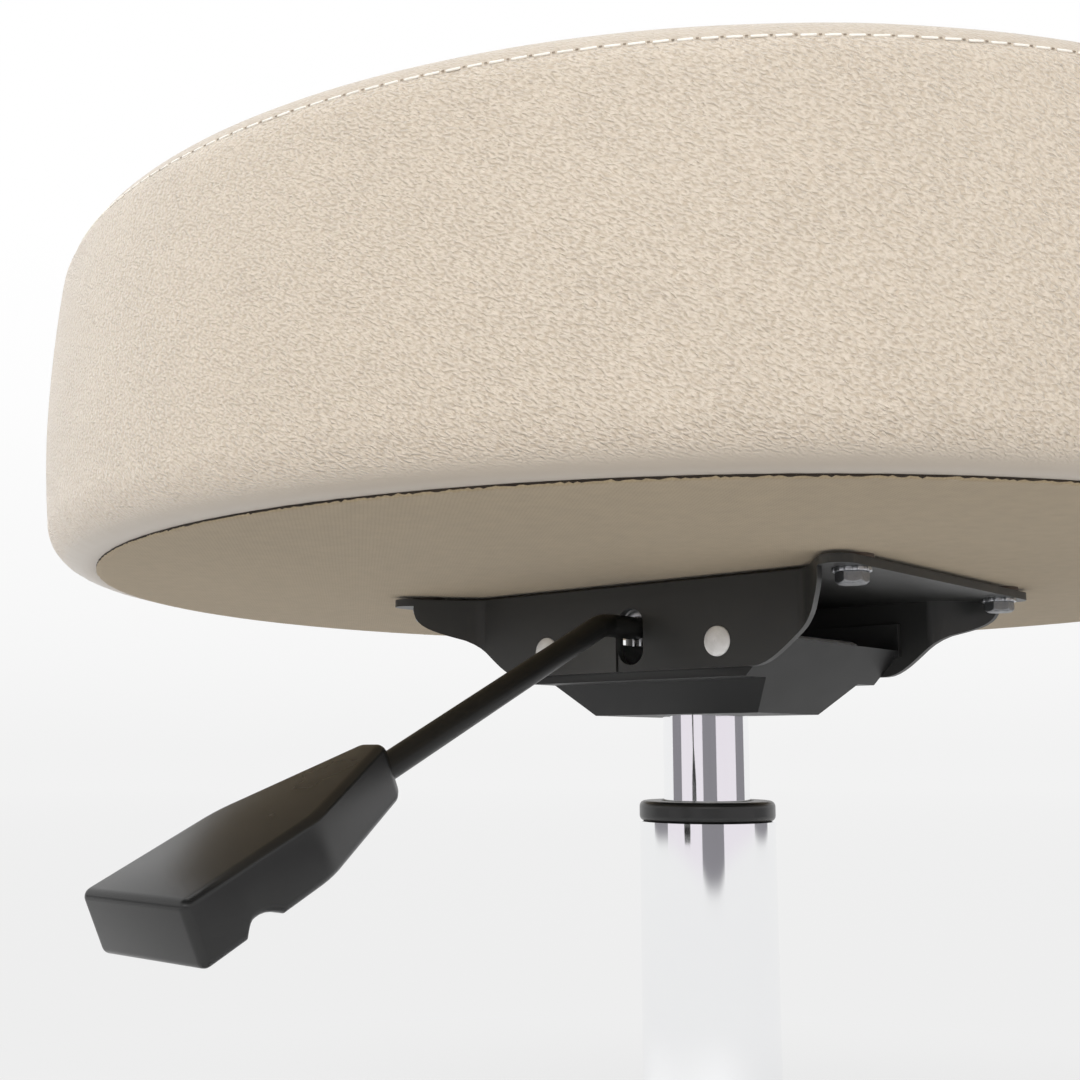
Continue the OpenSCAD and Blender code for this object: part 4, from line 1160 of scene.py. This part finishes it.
@dataclass
class LeverHandle:
    """The moulded paddle on the end of the lever: a neck that widens to a flat grip."""

    bend: Vector = field(default_factory=lambda: Vector((56 * MM, 1.3 * MM, 371.0 * MM)))
    drop: float = math.radians(24.9)
    lean: float = math.radians(5.3)
    start: float = 98.8 * MM
    length: float = 75.1 * MM
    width: float = 35.2 * MM
    thickness: float = 15.1 * MM
    neck_width: float = 7.9 * MM
    taper: float = 38.6 * MM
    neck_length: float = 2 * MM
    shoulder_soft: float = 0.02
    shoulder_reach: float = 1.5 * MM
    edge_radius: float = 2.0 * MM
    notch_from_end: float = 11.6 * MM
    notch_width: float = 10.6 * MM
    notch_depth: float = 3.0 * MM
    notch_steep: float = 0.3
    notch_easy_from: float = 0.45
    notch_easy_power: float = 1.6
    nose_length: float = 3.5 * MM
    nose_round: float = 0.8

    def place(self) -> Matrix:
        """Returns the matrix from the handle's own frame to the row frame."""
        yaw = math.atan(math.tan(self.drop) * math.sin(self.lean))
        pitch = math.asin(math.sin(self.drop) * math.cos(self.lean))
        turned = Matrix.Rotation(yaw, 4, "Z") @ Matrix.Rotation(pitch, 4, "Y")
        return Matrix.Translation(self.bend) @ turned @ Matrix.Translation((self.start, 0, 0))

    def half_width(self, along: float) -> float:
        """Returns half the handle's width at a distance from its neck."""
        t = min(1.0, max(0.0, (along - self.neck_length) / (self.taper - self.neck_length)))
        t -= self.shoulder_soft * math.exp(-((along - self.taper) / self.shoulder_reach) ** 2)
        return (self.neck_width + (self.width - self.neck_width) * t) / 2

    def floor_at(self, along: float) -> float:
        """Returns how far the underside is raised at a distance from the neck: steep by the end, then easy."""
        t = (self.length - along - self.notch_from_end) / self.notch_width
        if not 0 < t < 1:
            return 0.0
        rise = math.sin(min(1.0, t / self.notch_steep) * math.pi / 2)
        easy = max(0.0, (t - self.notch_easy_from) / (1 - self.notch_easy_from))
        return self.notch_depth * rise * (1 - easy ** self.notch_easy_power)

    def build(self) -> Object:
        """Rounds a block's edges, cuts it at its stations and draws it to shape.

        Returns:
            The handle, which stands for the CAD one.
        """
        bm = bmesh.new()
        block = Matrix.Translation((self.length / 2, 0, 0)) @ Matrix.Diagonal(
            (self.length, self.width, self.thickness, 1))
        bmesh.ops.create_cube(bm, size=1.0, matrix=block)
        round_edges(bm, bm.edges[:], self.edge_radius, segments=6)
        near_end = self.length - self.notch_from_end
        stations = [2.2 * MM, 2.8 * MM, 3.5 * MM, 5 * MM, 14 * MM, 24 * MM, self.taper - 3 * MM, self.taper - MM,
                    self.taper + MM, self.taper + 3 * MM]
        stations += [near_end - self.notch_width * t for t in (
            -0.04, 0.0, 0.04, 0.1, 0.17, 0.25, 0.34, 0.45, 0.6, 0.75, 0.9, 1.0, 1.05)]
        for station in sorted(stations):
            bmesh.ops.bisect_plane(bm, geom=bm.verts[:] + bm.edges[:] + bm.faces[:], dist=1e-7,
                                   plane_co=(station, 0, 0), plane_no=(1, 0, 0))
        for vert in bm.verts:
            along = vert.co.x
            inset = self.width / 2 - abs(vert.co.y)
            vert.co.y = math.copysign(max(0.0, self.half_width(along) - inset), vert.co.y)
            if vert.co.z < 0:
                vert.co.z += self.floor_at(along)
            nose = max(0.0, 1 - along / self.nose_length)
            shrink = math.sqrt(1 - (nose * self.nose_round) ** 2)
            vert.co.y *= shrink
            vert.co.z *= shrink
        bmesh.ops.transform(bm, matrix=self.place(), verts=bm.verts)
        bmesh.ops.recalc_face_normals(bm, faces=bm.faces)
        handle = make_piece("lever_grip", bm, [HANDLE_PLASTIC], "lever", crease=28.0)
        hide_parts("lever_handle")
        return handle


@dataclass
class RodClip:
    """The spring clip that keeps the rod in its slot: a bent collar with two tangs that point down."""

    low: Vector = field(default_factory=lambda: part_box("lever_washer")[0])
    high: Vector = field(default_factory=lambda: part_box("lever_washer")[1])
    collar: float = 1.8 * MM
    wrap: float = 200.0
    wrap_steps: int = 28
    tang_width: float = 0.9 * MM
    tang_apart: float = 2.6 * MM
    tang_length: float = 3.2 * MM
    edge_radius: float = 0.12 * MM

    def build(self) -> Object:
        """Bends a strip round the rod and gives it its tangs.

        Returns:
            The clip, which stands for the CAD washer.
        """
        middle = (self.low + self.high) / 2
        radius = (self.high.z - self.low.z) / 2
        thickness = self.high.x - self.low.x
        bm = bmesh.new()
        strip = [bm.verts.new((self.low.x, middle.y, middle.z + r)) for r in (radius - self.collar, radius)]
        edge = bm.edges.new(strip)
        bmesh.ops.rotate(bm, verts=strip, cent=middle, matrix=Matrix.Rotation(math.radians(-self.wrap / 2), 3, "X"))
        bmesh.ops.spin(bm, geom=[*strip, edge], cent=middle, axis=(1, 0, 0), angle=math.radians(self.wrap),
                       steps=self.wrap_steps, use_duplicate=False)
        grown = bmesh.ops.extrude_face_region(bm, geom=bm.faces[:])
        verts = [g for g in grown["geom"] if isinstance(g, BMVert)]
        bmesh.ops.translate(bm, verts=verts, vec=(thickness, 0, 0))
        for side in (-1, 1):
            place = middle + Vector((0, side * self.tang_apart / 2, self.tang_length / 2 - radius))
            tang = Matrix.Translation(place) @ Matrix.Diagonal((thickness, self.tang_width, self.tang_length, 1))
            bmesh.ops.create_cube(bm, size=1.0, matrix=tang)
        bmesh.ops.recalc_face_normals(bm, faces=bm.faces)
        round_edges(bm, sharp_edges(bm, 40.0), self.edge_radius)
        clip = make_piece("lever_clip", bm, [ZINC], body_of("lever_washer"), crease=40.0)
        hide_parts("lever_washer")
        return clip


# Metalwork and base


class Edge(Enum):
    """How sharply a kind of piece is finished, as the radius left on its edges."""

    SHEARED_SHEET = 0.7 * MM
    ROLLED_HEAD = 0.25 * MM
    STAMPED_TOOTH = 0.12 * MM
    PRESSED_LEG = 1.6 * MM
    MOULDED_HOOD = 0.7 * MM
    TURNED_HUB = 0.6 * MM


@dataclass
class Metalwork:
    """The pressed plate, its housing, the fixings and the five-leg base with its casters."""

    eased: dict[str, Edge] = field(default_factory=lambda: {
        "seat_plate": Edge.SHEARED_SHEET, "housing_pan": Edge.SHEARED_SHEET,
        "seat_bolts": Edge.ROLLED_HEAD, "lock_washers": Edge.STAMPED_TOOTH,
        "base_hub": Edge.TURNED_HUB,
        **{f"leg_{n}": Edge.PRESSED_LEG for n in range(1, 6)},
        **{f"caster_{n}_hood": Edge.MOULDED_HOOD for n in range(1, 6)},
    })
    bends: dict[str, float] = field(default_factory=lambda: {"seat_plate": 2.2 * MM})

    def build(self) -> list[Object]:
        """Builds an eased copy of each piece whose edges show."""
        return [EasedCopy(node, edge.value, bend=self.bends.get(node, 0.0)).build()
                for node, edge in self.eased.items()]


def dress_nodes() -> None:
    """Gives every CAD node its finish."""
    for name, node in frame["nodes"].items():
        material = node_finish(name).material()
        if not node.material_slots:
            node.data.materials.append(material)
        for slot in node.material_slots:
            slot.material = material
        LOG.info("node %s: %s", name, material.name)


# Studio


@dataclass
class Studio:
    """White sweep, soft lamps and the camera at the photograph's place, solved from its own lines."""

    eye: Vector = field(default_factory=lambda: Vector((0.36695, 0.24873, 0.33431)))
    level_forward: Vector = field(default_factory=lambda: Vector((-0.7524, -0.6587, 0)))
    level_right: Vector = field(default_factory=lambda: Vector((-0.6587, 0.7524, 0)))
    pitch: float = 0.1562
    sensor: float = 36.0
    # The focal length that the photograph gives, as a share of its width
    focal_share: float = 1322.1 / 1080
    floor_radius: float = 14.0
    seat_height: float = 0.4

    def set_camera(self) -> None:
        """Puts the camera where the photograph was taken."""
        data = bpy.data.cameras.new("photo_camera")
        data.sensor_fit = "HORIZONTAL"
        data.sensor_width = self.sensor
        data.lens = self.focal_share * self.sensor
        data.clip_start = 0.01
        data.clip_end = 60
        up = Vector((0, 0, math.cos(self.pitch))) - self.level_forward * math.sin(self.pitch)
        forward = self.level_forward * math.cos(self.pitch) + Vector((0, 0, math.sin(self.pitch)))
        camera = put_in_scene("photo_camera", data)
        turned = Matrix((self.level_right, up, -forward)).transposed().to_4x4()
        camera.matrix_world = Matrix.Translation(self.eye) @ turned
        bpy.context.scene.camera = camera

    def lay_floor(self) -> None:
        """Lays a wide disc of white paper under the stool."""
        bm = bmesh.new()
        bmesh.ops.create_circle(bm, cap_ends=True, segments=128, radius=self.floor_radius)
        floor = put_in_scene("floor", as_mesh("floor", bm))
        floor.data.materials.append(PAPER.material())

    def light_world(self) -> None:
        """Surrounds the stool with plain white light, and shows a pale backdrop to the camera and to metal."""
        world = bpy.data.worlds.new("studio")
        bpy.context.scene.world = world
        world.use_nodes = True
        tree = world.node_tree
        tree.nodes.clear()
        place = add_node(tree, "TexCoord").outputs["Generated"]
        axes = add_node(tree, "SeparateXYZ", {0: place})
        ramp = add_node(tree, "ValToRGB", {"Fac": axes.outputs["Z"]})
        set_ramp(ramp, [(0.0, linear("#f2f2f2")), (0.06, linear("#f6f6f6")), (0.1, linear("#f8f8f8")),
                        (0.17, linear("#fafafa")), (0.24, linear("#fdfdfd")), (0.35, linear("#ffffff"))])
        lamp = add_node(tree, "Background", {"Color": linear("#ffffff"), "Strength": 0.56})
        shown = add_node(tree, "Background", {"Color": ramp.outputs["Color"], "Strength": 1.0})
        path = add_node(tree, "LightPath")
        seen = add_node(tree, "Math", {
            0: path.outputs["Is Camera Ray"], 1: path.outputs["Is Glossy Ray"]}, operation="MAXIMUM")
        through = add_node(tree, "Math", {0: seen, 1: path.outputs["Is Transmission Ray"]}, operation="MAXIMUM")
        mixed = add_node(tree, "MixShader", {0: through, 1: lamp, 2: shown})
        add_node(tree, "OutputWorld", {"Surface": mixed})

    def stand_card(self, name: str, finish: WallCard, middle: float, spread: float, near: float, far: float,
                   lift: float) -> None:
        """Stands one curved card on the floor, which only polished metal shows.

        Args:
            name: The card's name.
            finish: The card's finish.
            middle: Its middle, in degrees from the eye round the column.
            spread: Its width in degrees.
            near: Its distance from the column where it faces the eye.
            far: Its distance at a right angle to the eye.
            lift: How far its foot rises at its two ends.
        """
        toward_eye = math.atan2(self.eye.y, self.eye.x)
        start = toward_eye + math.radians(middle - spread / 2)
        bm = bmesh.new()
        join_line(bm, [(math.cos(start), math.sin(start), z) for z in (0.001, 0.03, 0.06, 0.1, 0.2, 0.55)])
        self.bend_card(bm, spread, 48, lambda height: height)
        for vert in bm.verts:
            turn = math.degrees(math.atan2(vert.co.y, vert.co.x) - toward_eye)
            turn = (turn + 180) % 360 - 180
            reach = near + (far - near) * min(1.0, abs(turn) / 90) ** 1.3
            off = min(1.0, abs(turn - middle) / (spread / 2))
            vert.co = Vector((vert.co.x * reach, vert.co.y * reach, vert.co.z + lift * off ** 3))
        self.show_to_gloss(name, bm, finish)

    def hang_flag(self, name: str, finish: WallCard, low: float, high: float, spread: float, reach: float) -> None:
        """Hangs one dark curved flag over the camera, which only gloss shows, as a dark rim on black pieces.

        Args:
            name: The flag's name.
            finish: The flag's finish.
            low: The elevation of its lower edge in degrees.
            high: The elevation of its upper edge in degrees.
            spread: Its width in degrees.
            reach: Its distance from the seat.
        """
        start = math.atan2(self.eye.y, self.eye.x) - math.radians(spread / 2)
        bm = bmesh.new()
        rises = [math.radians(low + (high - low) * t / 12) for t in range(13)]
        join_line(bm, [(reach * math.cos(r) * math.cos(start), reach * math.cos(r) * math.sin(start),
                        self.seat_height + reach * math.sin(r)) for r in rises])
        self.bend_card(bm, spread, 36, lambda height: reach * (
            math.asin(min(1.0, (height - self.seat_height) / reach)) - rises[0]))
        self.show_to_gloss(name, bm, finish)

    def bend_card(self, bm: BMesh, spread: float, steps: int, rise: Callable[[float], float]) -> None:
        """Sweeps a card's upright line round the column, and maps how far each point is over its foot.

        Args:
            bm: The mesh, which holds the line alone.
            spread: The card's width in degrees.
            steps: How many columns it has.
            rise: Gives the way along the card from its foot up to a height.
        """
        bmesh.ops.spin(bm, geom=bm.verts[:] + bm.edges[:], cent=(0, 0, 0), axis=(0, 0, 1),
                       angle=math.radians(spread), steps=steps, use_duplicate=False)
        lay = bm.loops.layers.uv.new(CARD_MAP)
        for face in bm.faces:
            for loop in face.loops:
                loop[lay].uv = (0.0, rise(loop.vert.co.z))

    def show_to_gloss(self, name: str, bm: BMesh, finish: WallCard) -> None:
        """Turns a mesh into a card that only reflections show.

        Args:
            name: The card's name.
            bm: The mesh, which is freed.
            finish: The card's finish.
        """
        card = put_in_scene(name, as_mesh(name, bm))
        card.data.materials.append(finish.material())
        card.visible_camera = False
        card.visible_diffuse = False
        card.visible_transmission = False
        card.visible_shadow = False

    def hang_lamp(self, name: str, where: Vector, aim: Vector, size: float, watts: float) -> Object:
        """Hangs one square soft lamp.

        Args:
            name: The lamp's name.
            where: Its middle.
            aim: The point that it faces.
            size: The length of its side.
            watts: Its power.

        Returns:
            The lamp.
        """
        data = bpy.data.lights.new(name, "AREA")
        data.shape = "SQUARE"
        data.size = size
        data.energy = watts
        lamp = put_in_scene(name, data)
        lamp.matrix_world = Matrix.Translation(where) @ (aim - where).to_track_quat("-Z", "Y").to_matrix().to_4x4()
        lamp.visible_camera = False
        return lamp

    def build(self) -> None:
        """Sets the camera, the floor, the world and the lamps."""
        self.set_camera()
        self.lay_floor()
        self.light_world()
        self.stand_card("wall_card_1", CARD, middle=9.0, spread=36.0, near=2.6, far=2.6, lift=0.04)
        self.stand_card("wall_card_2", CARD, middle=-82.0, spread=36.0, near=4.2, far=4.2, lift=0.03)
        self.stand_card("wall_card_3", CARD, middle=102.0, spread=35.0, near=4.2, far=4.2, lift=0.03)
        self.stand_card("far_wall", WALL, middle=10.0, spread=150.0, near=2.65, far=4.3, lift=0.0)
        self.hang_flag("camera_flag", FLAG, low=24.0, high=78.0, spread=150.0, reach=1.2)
        seat = Vector((0, 0, self.seat_height))
        self.hang_lamp("overhead_lamp", Vector((0.3, 0.2, 2.4)), seat, size=1.5, watts=20)
        self.hang_lamp("front_lamp", Vector((1.7, 1.1, 1.6)), seat, size=1.4, watts=10)
        side = self.hang_lamp("side_lamp", Vector((0.9, -1.9, 0.9)), seat, size=1.4, watts=17)
        fill = self.hang_lamp("fill_lamp", Vector((1.35, 1.35, 0.45)), seat, size=1.2, watts=10)
        side.visible_glossy = fill.visible_glossy = False
        bpy.context.scene.view_settings.view_transform = "Standard"


def main() -> None:
    """Builds the stool's looks, piece by piece, then the studio."""
    logging.basicConfig(level=logging.INFO, format="%(message)s")
    Studio().build()
    dress_nodes()
    cushion = SeatCushion()
    cushion.build()
    cushion.sew()
    UndersideCloth().build()
    LeverHandle().build()
    RodClip().build()
    Metalwork().build()


if __name__ == "__main__":
    main()
